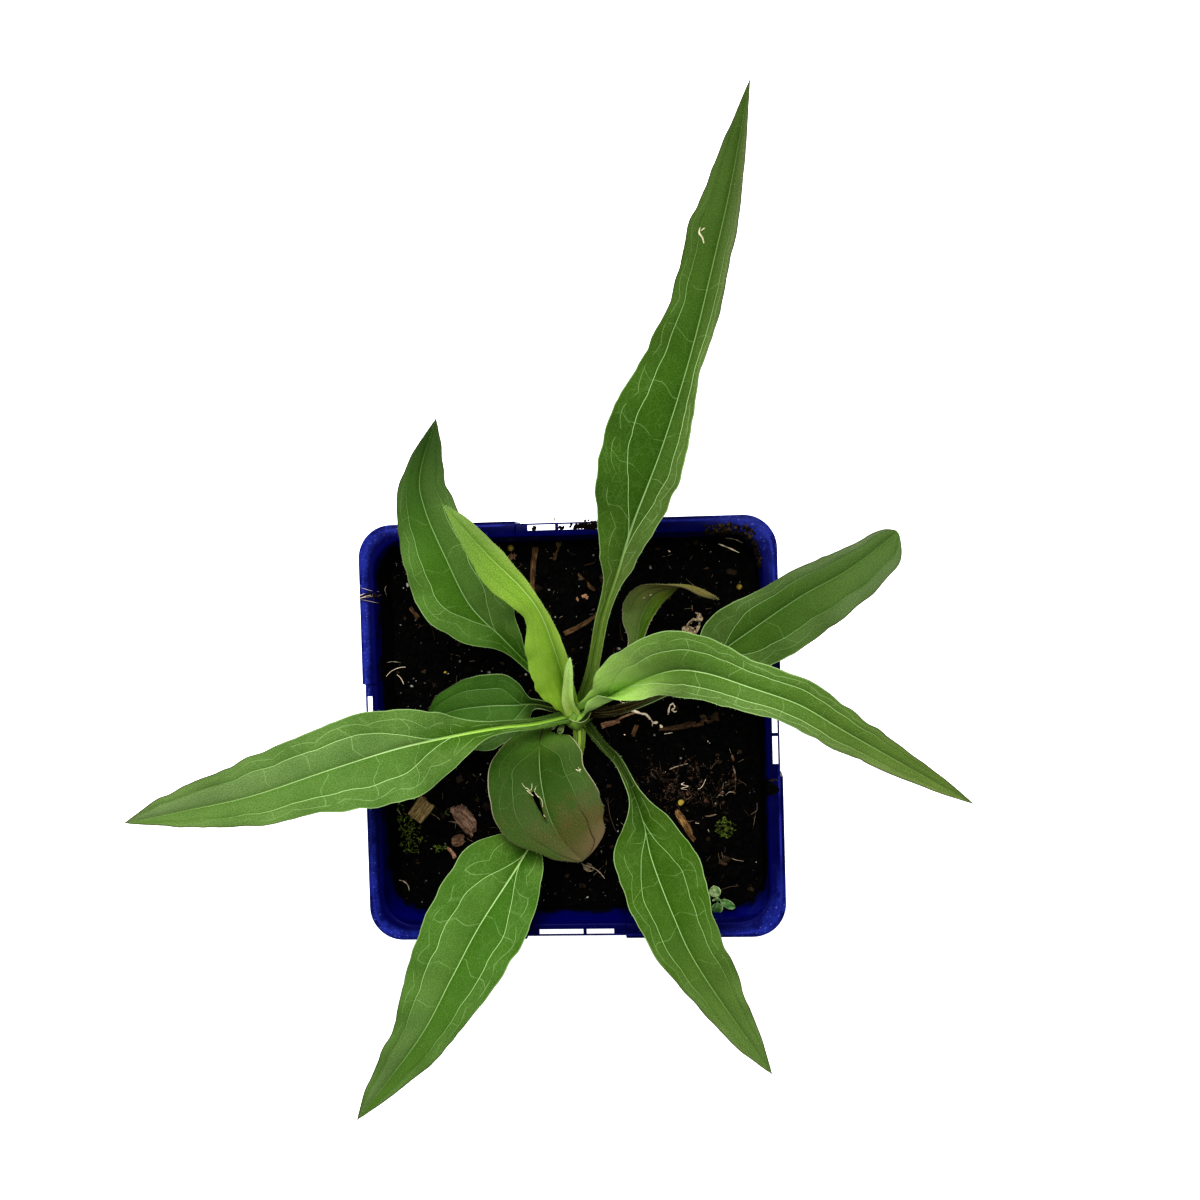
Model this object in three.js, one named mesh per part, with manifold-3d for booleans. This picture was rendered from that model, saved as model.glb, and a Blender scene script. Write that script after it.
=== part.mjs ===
// A young purple coneflower plant in a square plastic nursery pot.
// Millimetres, +Z up. The origin is the middle of the pot's base, on the surface it stands on.
import * as THREE from "three";
import { mergeVertices } from "three/addons/utils/BufferGeometryUtils.js";
import Module from "manifold-3d";

const wasm = await Module();
wasm.setup();

// Pot: half widths are from the middle to the outside of a flat side.
const POT_HEIGHT = 90;
const RIM_HALF = 50;
const BASE_HALF = 36;
const WALL = 1.2;
const BASE_THICKNESS = 1.6;
const CORNER_RADIUS = 8;
const FLANGE_WIDTH = 2.6;
const FLANGE_THICKNESS = 1.2;
const SKIRT_DEPTH = 11;
const SKIRT_WALL = 0.95;
const SKIRT_TAPER = 0.4;
const SKIRT_LAP = 0.1;

// Label slot in the middle of each side of the flange, in two lengths with a bar between them.
// The flange is stepped in and down round it, and the skirt is open below it.
const SLOT_LENGTH = 18;
const SLOT_WIDTH = 1.3;
const SLOT_REACH = 48.35;
const SLOT_BAR = 0.7;
const SLOT_BAR_OFFSET = 2;
const RECESS_LENGTH = 24;
const RECESS_DEPTH = 0.6;
const RECESS_STEP = 0.4;
const SKIRT_GAP_REACH = 47.6;

// Drain holes in the base: the middles of four by the sides and four by the corners.
const DRAIN_RADIUS = 4;
const DRAIN_SIDE_REACH = 25;
const DRAIN_CORNER_REACH = 25 * Math.SQRT2;

// Cutters run on past the faces that they open by OVERCUT.
const OVERCUT = 2;

// Soil, and the crown that stands in it.
const GAP = 0.3;
const SOIL_LEVEL = 78;
const SOIL_RELIEF = 0.66;
const SOIL_ARC_STEPS = 5;
const SOIL_SIDE_STEPS = 9;
const SOIL_RING_SHARES = [1, 0.93, 0.85, 0.76, 0.67, 0.58, 0.49, 0.4, 0.31, 0.22, 0.13, 0.05];
const CROWN = { x: 0.5, y: 3, radius: 4.4, foot: 68, shoulder: 81.5, top: 87.5, sides: 24 };
// The crown's outline as [share of the radius, height], above its foot.
const CROWN_OUTLINE = [
  [1, 71],
  [1, 81.5],
  [0.86, 84.1],
  [0.58, 85.9],
  [0.3, 87.1],
];

// Leaf blades.
const BLADE_THICKNESS = 0.7;
const TIP_HALF_WIDTH = 0.45;
const RIB_HALF_WIDTH = 1.3;
const RIB_TAPER = 0.6;
const RIB_WIDEST_SHARE = 0.45;
const RIB_EDGE_DEPTH = 0.45;
const RIB_DEPTH_BASE = 1.7;
const RIB_DEPTH_TIP = 0.25;
const RIB_FADE_SHARE = 0.625;
const WAVED_WIDTH = 6;
const LEAF_ROWS = 22;
const WIDTH_SAMPLES = 240;
const CURVE_SAMPLES = 400;
const TEAR_DEPTH = 60;

// Each leaf has its midrib from the crown to the tip as [x, y, z, roll, fold], with
// roll and fold in degrees, and its half widths as [share of the length, left, right].
// Left and right are seen along the midrib from above. A positive roll lifts the right
// edge, and the fold lifts both edges. The wave is [height, length, start] of the edge's ripple.
const LEAVES = {
  leaf_folded: {
    colour: 0x55642f,
    rib: [
      [2, 5, 83, 0, 25],
      [10, 12, 86, 0, 25],
      [15.8, 20, 91, 0, 20],
      [18.2, 27, 97, 0, 15],
      [21.5, 31.6, 102, -30, 10],
      [26.5, 33.6, 104, -75, 5],
      [31, 33, 102, -110, 5],
      [36.2, 30.2, 98, -125, 5],
    ],
    width: [
      [0, 1.2, 1.2],
      [0.3, 1.2, 1.2],
      [0.4, 1.8, 1.6],
      [0.52, 4, 2.4],
      [0.64, 5.6, 2.8],
      [0.76, 4.4, 2.4],
      [0.88, 2.2, 1.4],
      [1, 0, 0],
    ],
    wave: [0.2, 12, 0],
  },
  leaf_right_low: {
    colour: 0x466a2c,
    rib: [
      [2, 3.5, 83, 0, 25],
      [10, 4, 85.5, 0, 25],
      [19, 7, 89, 0, 25],
      [29, 12, 94, 0, 20],
      [36, 18, 98, 0, 12],
      [43, 23, 102, 0, 8],
      [55, 31, 107, 0, 8],
      [66, 37, 109, 0, 8],
      [77, 45, 107, 0, 12],
    ],
    width: [
      [0, 1.6, 1.6],
      [0.3, 1.3, 1.3],
      [0.39, 3, 4],
      [0.46, 7.2, 7.4],
      [0.55, 7.8, 9],
      [0.65, 6.6, 10],
      [0.78, 5.8, 8.8],
      [0.88, 4.4, 7],
      [0.95, 3.4, 5.6],
      [1, 1.4, 2.4],
    ],
    wave: [0.4, 14, 1],
  },
  leaf_small_low: {
    colour: 0x3a5f24,
    rib: [
      [-1, 4, 83, 0, 25],
      [-5, 5, 84.5, 0, 25],
      [-9, 6, 86, 4, 15],
      [-14, 6, 88, 6, 8],
      [-20, 6, 89, 6, 6],
      [-28, 5, 88, 6, 6],
      [-36, 2, 84.5, 4, 8],
    ],
    width: [
      [0, 1.5, 1.5],
      [0.22, 1.2, 1.4],
      [0.28, 4.6, 2.2],
      [0.34, 7, 5.6],
      [0.42, 9, 7.4],
      [0.54, 10.4, 8],
      [0.66, 10, 7.2],
      [0.8, 8, 5.2],
      [0.92, 4.4, 2.6],
      [1, 0, 0],
    ],
    wave: [0.4, 11, 2],
  },
  leaf_lower_left: {
    colour: 0x5a8a34,
    rib: [
      [1.5, 1.5, 83, 0, 25],
      [1, -6, 84, 0, 25],
      [-3, -16, 85.5, 0, 25],
      [-9, -25, 88, 0, 20],
      [-14, -33, 92.5, 0, 10],
      [-22, -45, 99, 0, 8],
      [-28, -56, 104, 0, 8],
      [-36, -70, 106, 0, 8],
      [-52, -90, 103, 0, 14],
    ],
    width: [
      [0, 1.7, 1.7],
      [0.26, 1.2, 1.5],
      [0.31, 4.2, 8],
      [0.38, 8.4, 12.6],
      [0.48, 11, 12.8],
      [0.6, 10, 11.2],
      [0.7, 7.4, 9.2],
      [0.8, 5.6, 6],
      [0.9, 3.1, 3.8],
      [1, 0, 0],
    ],
    wave: [0.7, 13, 0.5],
  },
  leaf_lower_right: {
    colour: 0x4a7426,
    rib: [
      [3, 1, 83, 0, 25],
      [7, -4, 85, 0, 25],
      [11, -8, 87, 0, 25],
      [14, -14, 89.5, 0, 20],
      [17, -22, 93, 0, 12],
      [19, -30, 97, 0, 8],
      [24, -42, 103, 0, 8],
      [30, -54, 106, 0, 8],
      [46, -79, 104, 0, 14],
    ],
    width: [
      [0, 1.4, 1.4],
      [0.17, 1.3, 1.3],
      [0.25, 3, 2],
      [0.33, 7.4, 7],
      [0.42, 10.6, 8.8],
      [0.5, 10.4, 8.6],
      [0.6, 8.9, 7.8],
      [0.7, 7.7, 5.9],
      [0.8, 5.7, 4.6],
      [0.9, 3.2, 3],
      [1, 0, 0],
    ],
    wave: [0.6, 12, 1.5],
  },
  leaf_old_torn: {
    colour: 0x456227,
    rib: [
      [-2, 2, 83, 0, 25],
      [-6, 1, 83.5, 0, 20],
      [-7.5, -1, 86, 0, 14],
      [-7.6, -4.5, 90.5, 0, 8],
      [-6.8, -11, 95.5, 0, 6],
      [-5, -18.5, 98, 0, 6],
      [-2, -25, 97.8, 0, 7],
      [2.6, -30.4, 96.4, 0, 8],
    ],
    width: [
      [0, 1.6, 1.6],
      [0.12, 1.4, 1.6],
      [0.19, 5.4, 5],
      [0.29, 8.9, 9],
      [0.4, 10.6, 11.8],
      [0.49, 11.2, 12.6],
      [0.58, 12.6, 12.6],
      [0.66, 13.3, 12],
      [0.74, 13.4, 10.4],
      [0.84, 12.4, 5.8],
      [0.93, 10.6, 2.8],
      [1, 7.5, 1],
    ],
    wave: [0.4, 16, 0],
    tear: { from: [-8.4, -13.8], to: [-5.3, -21.2], width: 1.3 },
  },
  leaf_upper_left: {
    colour: 0x4c7a34,
    rib: [
      [-1, 5, 83.5, 0, 30],
      [-5, 11, 88, 0, 30],
      [-9, 16, 94, 0, 25],
      [-14, 23, 102, 0, 15],
      [-20, 31, 110, 0, 10],
      [-24, 42, 117, 0, 8],
      [-28, 53, 119, 0, 8],
      [-29, 61, 118, 0, 10],
      [-26, 74, 112, 0, 14],
    ],
    width: [
      [0, 1.8, 1.8],
      [0.22, 1.4, 1.8],
      [0.32, 3.3, 5],
      [0.4, 7, 8],
      [0.5, 9.8, 9.4],
      [0.6, 9.8, 8.6],
      [0.7, 7.6, 7.4],
      [0.8, 4.8, 6.4],
      [0.9, 2.3, 4],
      [1, 0, 0],
    ],
    wave: [0.5, 13, 2.5],
  },
  leaf_left: {
    colour: 0x5c8f38,
    rib: [
      [-1, 3, 86, 0, 35],
      [-8, 2, 92.5, 0, 35],
      [-15, 2, 100, 0, 25],
      [-24, 1.2, 108, 0, 15],
      [-36, -0.6, 117, 0, 10],
      [-49.8, -4.2, 124, 0, 8],
      [-67.4, -9.5, 127, 0, 10],
      [-83.5, -12.8, 126, 0, 12],
      [-99, -16, 122, 0, 14],
    ],
    width: [
      [0, 2, 2],
      [0.16, 1.5, 1.8],
      [0.24, 3.1, 2.8],
      [0.32, 8.3, 6.1],
      [0.4, 11.8, 8.9],
      [0.5, 11, 10.4],
      [0.6, 8.4, 9.2],
      [0.7, 6.9, 8.5],
      [0.8, 4.8, 6.5],
      [0.9, 2.5, 3.9],
      [1, 0, 0],
    ],
    wave: [0.7, 17, 0],
  },
  leaf_long_upright: {
    colour: 0x487030,
    rib: [
      [2, 5, 83, 0, 30],
      [6, 14, 93.5, 0, 35],
      [10, 27, 106, 0, 30],
      [14.7, 37.8, 117, 5, 22],
      [19, 48.4, 126, 8, 14],
      [26.5, 64.3, 138, 10, 10],
      [33.4, 82.6, 147, 12, 10],
      [38.6, 100.4, 151, 12, 12],
      [42.7, 116.8, 150, 10, 14],
      [47, 139, 144, 5, 18],
    ],
    width: [
      [0, 2, 2],
      [0.24, 2.1, 1.6],
      [0.32, 5, 3.4],
      [0.4, 9.5, 5.5],
      [0.5, 12.6, 6.6],
      [0.6, 10.3, 3.6],
      [0.7, 6.9, 3.9],
      [0.8, 6.3, 3.5],
      [0.9, 3.3, 1.9],
      [1, 0, 0],
    ],
    wave: [0.5, 20, 1],
  },
  leaf_arching: {
    colour: 0x67973f,
    rib: [
      [2, 4, 86, 0, 55],
      [8, 7.5, 96.5, 0, 50],
      [16, 12, 111, -5, 35],
      [26, 16, 124, -8, 20],
      [34, 16, 132, -8, 12],
      [44, 13, 137, -5, 8],
      [54, 9, 135, 0, 8],
      [63, 3, 130, 0, 8],
      [75, -5, 121, 0, 10],
      [93, -17, 106, 0, 14],
    ],
    width: [
      [0, 2.8, 2.8],
      [0.08, 3.6, 2.6],
      [0.16, 5.8, 2.8],
      [0.24, 9.4, 3.8],
      [0.32, 10.6, 5.2],
      [0.4, 9.2, 6.2],
      [0.5, 6, 5.4],
      [0.6, 5.6, 4.8],
      [0.7, 4.4, 4.2],
      [0.8, 3.2, 3.2],
      [0.9, 2, 1.9],
      [1, 0, 0],
    ],
    wave: [0.4, 18, 2],
  },
  leaf_young: {
    colour: 0x82ad3c,
    rib: [
      [0.5, 4.5, 86, 0, 50],
      [0, 12, 99, 0, 40],
      [-0.5, 20, 112, 0, 25],
      [-2, 29, 124, 0, 12],
      [-5, 35, 131, 0, 8],
      [-11, 42, 136, 0, 8],
      [-16, 48, 138, 0, 10],
      [-21, 54, 137, 0, 14],
    ],
    width: [
      [0, 2.6, 2.6],
      [0.12, 4.9, 3],
      [0.22, 6.9, 3],
      [0.32, 7.1, 3],
      [0.44, 6.2, 2.6],
      [0.54, 3.9, 1.9],
      [0.62, 3.7, 1.6],
      [0.72, 5, 2.3],
      [0.82, 3.8, 2.9],
      [0.92, 1.7, 2.2],
      [1, 0, 0],
    ],
    wave: [0.3, 14, 0],
  },
  leaf_newest: {
    colour: 0x96be5c,
    rib: [
      [0.6, 3.6, 86, 0, 30],
      [0.4, 7.6, 95.5, 0, 30],
      [1.6, 13, 105, 0, 26],
      [2.8, 18.3, 113, 0, 20],
    ],
    width: [
      [0, 1.9, 1.9],
      [0.3, 1.8, 1.8],
      [0.6, 1.4, 1.4],
      [0.85, 1.05, 1.05],
      [1, 0.6, 0.6],
    ],
    wave: [0, 10, 0],
  },
};

// Weed seedling: a thin stem with four round leaves, near a corner of the soil.
const WEED = {
  x: 34.1,
  y: -41.7,
  foot: 73,
  top: 84,
  stemRadius: 0.6,
  leafRadius: 1.7,
  leafThickness: 0.7,
  leafNarrowing: 0.8,
  leafTilt: 18,
  reach: 2.1,
  turns: [-29, 105, 178, 266],
};

// Loose pieces on the soil: box-like chips and round sticks with [x, y] and a turn in degrees.
// A chip's outline is in shares of its width and height. Part of each piece stands in the soil.
const CHIP_OUTLINE = [
  [-0.5, -0.5],
  [0.42, -0.5],
  [0.5, 0],
  [0.3, 0.5],
  [-0.36, 0.42],
];
const CHIP_RISE = 0.25;
const STICK_RISE = 0.9;
const STICK_TAPER = 0.7;
const STICK_SIDES = 8;
const CHIPS = {
  bark_block: { at: [-38.8, -20.2], size: [5.7, 4.6, 3], turn: 51, colour: 0x8a7850 },
  bark_chunk_big: { at: [-28.3, -22.7], size: [8, 4, 2.6], turn: -52, colour: 0x6e5639 },
  bark_chunk_small: { at: [-29.8, -27.8], size: [3.2, 2.6, 2.2], turn: 15, colour: 0x5d4931 },
};
const STICKS = {
  stick_upper: { at: [-9, 37.5], length: 12.5, radius: 0.65, turn: 85, colour: 0x6b5230 },
  twig_middle: { at: [2.3, 24.9], length: 10, radius: 0.6, turn: 29, colour: 0x5c4230 },
  stick_right: { at: [27.5, 0], length: 15, radius: 0.8, turn: 12, colour: 0x6a5233 },
  stick_lower: { at: [26.2, -25.1], length: 9.4, radius: 0.9, turn: -60, colour: 0x6d5436 },
};

const RIGHT_ANGLE = Math.PI / 2;
const rad = THREE.MathUtils.degToRad;

function material(colour, roughness) {
  return new THREE.MeshStandardMaterial({ color: colour, roughness, metalness: 0 });
}

// A closed geometry from rows of points of equal length, capped at both ends.
// flips says for each column of a row which way its squares are split.
function loft(rows, flips = []) {
  const count = rows[0].length;
  const points = rows.flat();
  const faces = [];
  for (let i = 0; i + 1 < rows.length; i++) {
    for (let k = 0; k < count; k++) {
      const a = i * count + k;
      const b = i * count + ((k + 1) % count);
      const c = b + count;
      const d = a + count;
      if (flips[k]) faces.push(a, b, d, b, c, d);
      else faces.push(a, b, c, a, c, d);
    }
  }
  const first = points.length;
  points.push(middle(rows[0]), middle(rows[rows.length - 1]));
  const last = (rows.length - 1) * count;
  for (let k = 0; k < count; k++) {
    const next = (k + 1) % count;
    faces.push(first, next, k, first + 1, last + k, last + next);
  }
  const geometry = new THREE.BufferGeometry().setFromPoints(points);
  geometry.setIndex(faces);
  return geometry;
}

function middle(points) {
  const sum = points.reduce((s, p) => s.add(p), new THREE.Vector3());
  return sum.divideScalar(points.length);
}

// A closed geometry as a solid for joins and cuts.
function solid(geometry) {
  const bare = geometry.clone();
  bare.deleteAttribute("normal");
  bare.deleteAttribute("uv");
  const merged = mergeVertices(bare, 1e-4);
  return new wasm.Manifold(
    new wasm.Mesh({
      numProp: 3,
      vertProperties: new Float32Array(merged.attributes.position.array),
      triVerts: new Uint32Array(merged.index.array),
    }),
  );
}

// The largest body of a solid as a named mesh.
function meshOf(made, name, colour, roughness) {
  const bodies = made.decompose();
  const whole = bodies.reduce((a, b) => (b.volume() > a.volume() ? b : a));
  const mesh = whole.getMesh();
  const geometry = new THREE.BufferGeometry();
  geometry.setAttribute("position", new THREE.BufferAttribute(mesh.vertProperties, 3));
  geometry.setIndex(new THREE.BufferAttribute(mesh.triVerts, 1));
  geometry.computeVertexNormals();
  const named = new THREE.Mesh(geometry, material(colour, roughness));
  named.name = name;
  return named;
}

function box(width, depth, height, x, y, z, turn = 0) {
  const geometry = new THREE.BoxGeometry(width, depth, height);
  geometry.translate(x, y, z).rotateZ(turn);
  return solid(geometry);
}

function upright(radiusTop, radiusFoot, foot, top, x, y, sides) {
  const geometry = new THREE.CylinderGeometry(radiusTop, radiusFoot, top - foot, sides);
  geometry.rotateX(RIGHT_ANGLE).translate(x, y, (foot + top) / 2);
  return solid(geometry);
}

// One level outline of the pot: a square with round corners.
function outline(half, radius, z, arcSteps = 5) {
  const points = [];
  for (let corner = 0; corner < 4; corner++) {
    const cx = (corner === 0 || corner === 3 ? 1 : -1) * (half - radius);
    const cy = (corner < 2 ? 1 : -1) * (half - radius);
    for (let k = 0; k <= arcSteps; k++) {
      const angle = (corner + k / arcSteps) * RIGHT_ANGLE;
      points.push(
        new THREE.Vector3(cx + radius * Math.cos(angle), cy + radius * Math.sin(angle), z),
      );
    }
  }
  return points;
}

// Half width of the wall's outside at a height.
function wallHalf(z) {
  const top = RIM_HALF - FLANGE_WIDTH;
  return BASE_HALF + ((top - BASE_HALF) * z) / POT_HEIGHT;
}

function wallSolid(inset, from, to) {
  const at = (z) => outline(wallHalf(z) - inset, CORNER_RADIUS - inset, z);
  return solid(loft([at(from), at(to)]));
}

// The two lengths of a slot as [from, to] along the side.
function slotLengths(barAt) {
  return [
    [-SLOT_LENGTH / 2, barAt - SLOT_BAR / 2],
    [barAt + SLOT_BAR / 2, SLOT_LENGTH / 2],
  ];
}

// Everything that is cut out of one side: slot, recess, skirt gap and drain holes.
function sideCuts(side) {
  const turn = side * RIGHT_ANGLE;
  const top = POT_HEIGHT;
  const under = top - FLANGE_THICKNESS;
  const skirtFoot = top - SKIRT_DEPTH;
  // A box from one height to another, and from near to far off the pot's middle.
  const cut = (along, length, near, far, low, high) =>
    box(length, far - near, high - low, along, -(near + far) / 2, (low + high) / 2, turn);
  const outside = RIM_HALF + OVERCUT;
  const cuts = [
    cut(0, RECESS_LENGTH, RIM_HALF - RECESS_DEPTH, outside, skirtFoot - OVERCUT, top + OVERCUT),
    cut(0, RECESS_LENGTH, wallHalf(top) - WALL - OVERCUT, outside, top - RECESS_STEP, top + OVERCUT),
    cut(0, RECESS_LENGTH, SKIRT_GAP_REACH, outside, skirtFoot - OVERCUT, under),
  ];
  const [near, far] = [SLOT_REACH - SLOT_WIDTH / 2, SLOT_REACH + SLOT_WIDTH / 2];
  for (const [from, to] of slotLengths(side % 2 ? -SLOT_BAR_OFFSET : SLOT_BAR_OFFSET)) {
    cuts.push(cut((from + to) / 2, to - from, near, far, under - OVERCUT, top + OVERCUT));
  }
  const drain = (reach, angle) => {
    const [x, y] = [reach * Math.cos(angle), reach * Math.sin(angle)];
    return upright(DRAIN_RADIUS, DRAIN_RADIUS, -OVERCUT, BASE_THICKNESS + OVERCUT, x, y, 12);
  };
  cuts.push(drain(DRAIN_SIDE_REACH, turn), drain(DRAIN_CORNER_REACH, turn + RIGHT_ANGLE / 2));
  return cuts;
}

function makePot() {
  const top = POT_HEIGHT;
  const under = top - FLANGE_THICKNESS;
  const skirtFoot = top - SKIRT_DEPTH;
  const rim = (z) => outline(RIM_HALF, CORNER_RADIUS, z);
  const inner = (half, z) => outline(half - SKIRT_WALL, CORNER_RADIUS - SKIRT_WALL, z);
  const footHalf = RIM_HALF - SKIRT_TAPER;
  const flange = solid(loft([rim(under), rim(top)]));
  const skirt = solid(loft([outline(footHalf, CORNER_RADIUS, skirtFoot), rim(under + SKIRT_LAP)]));
  const hollow = solid(loft([inner(footHalf, skirtFoot - 1), inner(RIM_HALF, top)]));
  let pot = wallSolid(0, 0, top).add(flange).add(skirt.subtract(hollow));
  pot = pot.subtract(wallSolid(WALL, BASE_THICKNESS, top + OVERCUT));
  for (let side = 0; side < 4; side++) {
    for (const cut of sideCuts(side)) pot = pot.subtract(cut);
  }
  return pot;
}

// Height of the soil: crossed ripples of three sizes, 33 to 7 mm apart, a little higher round
// the crown and lower at the wall.
function soilHeight(x, y) {
  const mounds =
    Math.sin(0.19 * x + 0.6) * Math.cos(0.23 * y - 0.4) +
    0.6 * Math.sin(0.43 * x - 0.37 * y + 1.1) +
    0.35 * Math.sin(0.9 * x + 0.7 * y) * Math.cos(0.8 * y - 0.5 * x);
  const fromCrown = Math.hypot(x - CROWN.x, y - CROWN.y);
  const heap = 0.5 * Math.exp(-((fromCrown / 14) ** 2));
  const edge = 1.2 * Math.max(0, Math.max(Math.abs(x), Math.abs(y)) / 45 - 0.75);
  return SOIL_LEVEL + SOIL_RELIEF * mounds + heap - edge;
}

// The soil body: down the pot's wall, with its relief raised by lift.
function soilSolid(lift, foot) {
  const inset = WALL + GAP - lift;
  const dense = (half, radius, z) => {
    const ring = outline(half, radius, z, SOIL_ARC_STEPS);
    const points = [];
    for (let k = 0; k < ring.length; k++) {
      points.push(ring[k]);
      if (k % (SOIL_ARC_STEPS + 1) !== SOIL_ARC_STEPS) continue;
      const next = ring[(k + 1) % ring.length];
      for (let m = 1; m < SOIL_SIDE_STEPS; m++) {
        points.push(ring[k].clone().lerp(next, m / SOIL_SIDE_STEPS));
      }
    }
    return points;
  };
  const rows = [dense(wallHalf(foot) - inset, CORNER_RADIUS - inset, foot)];
  const half = wallHalf(SOIL_LEVEL) - inset;
  const ring = dense(half, CORNER_RADIUS - inset, 0);
  for (const share of SOIL_RING_SHARES) {
    rows.push(
      ring.map((p) => {
        const x = p.x * share;
        const y = p.y * share;
        return new THREE.Vector3(x, y, soilHeight(x, y) + lift);
      }),
    );
  }
  return solid(loft(rows));
}

// The crown: a short round stem base with a domed top, grown outwards by grow.
function crownSolid(grow) {
  const radius = CROWN.radius + grow;
  const profile = [
    [0, CROWN.foot - grow],
    [0.85 * radius, CROWN.foot - grow],
    ...CROWN_OUTLINE.map(([share, z]) => [share * radius, z > CROWN.shoulder ? z + grow : z]),
    [0, CROWN.top + grow],
  ];
  const points = profile.map(([x, y]) => new THREE.Vector2(x, y));
  const geometry = new THREE.LatheGeometry(points, CROWN.sides);
  geometry.rotateX(RIGHT_ANGLE).translate(CROWN.x, CROWN.y, 0);
  return solid(geometry);
}

function makeSoil() {
  const soil = soilSolid(0, BASE_THICKNESS + GAP);
  const hole = CROWN.radius + GAP;
  const crownHole = upright(
    hole,
    hole,
    CROWN.foot - GAP,
    POT_HEIGHT,
    CROWN.x,
    CROWN.y,
    CROWN.sides,
  );
  const weedHole = WEED.stemRadius + GAP;
  return soil
    .subtract(crownHole)
    .subtract(upright(weedHole, weedHole, WEED.foot - GAP, POT_HEIGHT, WEED.x, WEED.y, 10));
}

// Points along a leaf's midrib at even steps, with the side and up directions there.
function leafFrames(rib, rows) {
  const curve = curveThrough(rib);
  curve.arcLengthDivisions = CURVE_SAMPLES;
  const turns = curveThrough(rib.map(([, , , roll, fold]) => [roll, fold, 0]));
  const up = new THREE.Vector3(0, 0, 1);
  const frames = [];
  for (let i = 0; i < rows; i++) {
    const share = i / (rows - 1);
    const t = curve.getUtoTmapping(share);
    const tangent = curve.getTangent(t);
    const side = new THREE.Vector3().crossVectors(tangent, up).normalize();
    const normal = new THREE.Vector3().crossVectors(side, tangent);
    const turn = turns.getPoint(t);
    const roll = rad(turn.x);
    frames.push({
      share,
      at: curve.getPoint(t),
      side: side.clone().multiplyScalar(Math.cos(roll)).addScaledVector(normal, Math.sin(roll)),
      normal: normal.multiplyScalar(Math.cos(roll)).addScaledVector(side, -Math.sin(roll)),
      fold: rad(turn.y),
    });
  }
  return { frames, length: curve.getLength() };
}

// A smooth curve through rows of three numbers.
function curveThrough(rows) {
  const points = rows.map(([a, b, c]) => new THREE.Vector3(a, b, c));
  return new THREE.CatmullRomCurve3(points, false, "catmullrom", 0.5);
}

// Half widths [left, right] as a function of the share of the leaf's length.
function smoothWidths(stations) {
  const points = curveThrough(stations).getPoints(WIDTH_SAMPLES);
  return (share) => {
    const found = points.findIndex((p) => p.x >= share);
    const next = found < 0 ? points.length - 1 : Math.max(found, 1);
    const [a, b] = [points[next - 1], points[next]];
    const t = (share - a.x) / (b.x - a.x);
    const mix = (from, to) => Math.max(from + (to - from) * t, TIP_HALF_WIDTH);
    return [mix(a.y, b.y), mix(a.z, b.z)];
  };
}

// One leaf as a solid. Each row is a thin folded section with a rib under its middle,
// and the rows are lofted along the midrib. grow thickens it on every side.
function leafSolid(leaf, grow = 0) {
  const { frames, length } = leafFrames(leaf.rib, LEAF_ROWS);
  const [waveHeight, waveLength, waveStart] = leaf.wave;
  const widths = smoothWidths(leaf.width);
  const rows = frames.map(({ share, at, side, normal, fold }) => {
    const [left, right] = widths(share);
    const faded = Math.min(1, share / RIB_FADE_SHARE);
    const ribDepth = RIB_DEPTH_BASE + (RIB_DEPTH_TIP - RIB_DEPTH_BASE) * faded;
    const section = [];
    for (const half of [-1, 1]) {
      const width = (half < 0 ? left : right) + grow;
      const rib = Math.min(RIB_WIDEST_SHARE, (RIB_HALF_WIDTH * (1 - RIB_TAPER * share)) / width);
      for (const v of [1, (1 + rib) / 2, rib]) section.push([half * v, width, rib]);
    }
    const across = [...section.slice(0, 3), [0, left, 1], ...section.slice(3).reverse()];
    const wave = waveHeight * Math.sin((2 * Math.PI * share * length) / waveLength + waveStart);
    const point = ([v, width, rib], below) => {
      const out = Math.abs(v) * width;
      const ripple = wave * v * Math.abs(v) * Math.min(1, width / WAVED_WIDTH);
      const ribShare = v === 0 ? 1 : Math.abs(v) <= rib ? RIB_EDGE_DEPTH : 0;
      const depth = below * (BLADE_THICKNESS + grow + ribDepth * ribShare);
      const lift = out * Math.sin(fold) + ripple + (1 - below) * grow - depth;
      return at
        .clone()
        .addScaledVector(side, Math.sign(v) * out * Math.cos(fold))
        .addScaledVector(normal, lift);
    };
    return [
      ...across.map((a) => point(a, 0)),
      ...across.reverse().map((a) => point(a, 1)),
    ];
  });
  // The under side's squares are split along the same lines as the upper side's.
  const half = rows[0].length / 2;
  const flips = rows[0].map((_, k) => k >= half);
  return solid(loft(rows, flips));
}

// A narrow slit from one point to another, seen from above.
function tearSolid({ from, to, width }) {
  const dx = to[0] - from[0];
  const dy = to[1] - from[1];
  const shape = new THREE.Shape();
  shape.absellipse(0, 0, Math.hypot(dx, dy) / 2, width / 2, 0, 2 * Math.PI);
  const geometry = new THREE.ExtrudeGeometry(shape, {
    depth: TEAR_DEPTH,
    bevelEnabled: false,
    curveSegments: 5,
  });
  geometry
    .rotateZ(Math.atan2(dy, dx))
    .translate((from[0] + to[0]) / 2, (from[1] + to[1]) / 2, SOIL_LEVEL);
  return solid(geometry);
}

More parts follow.
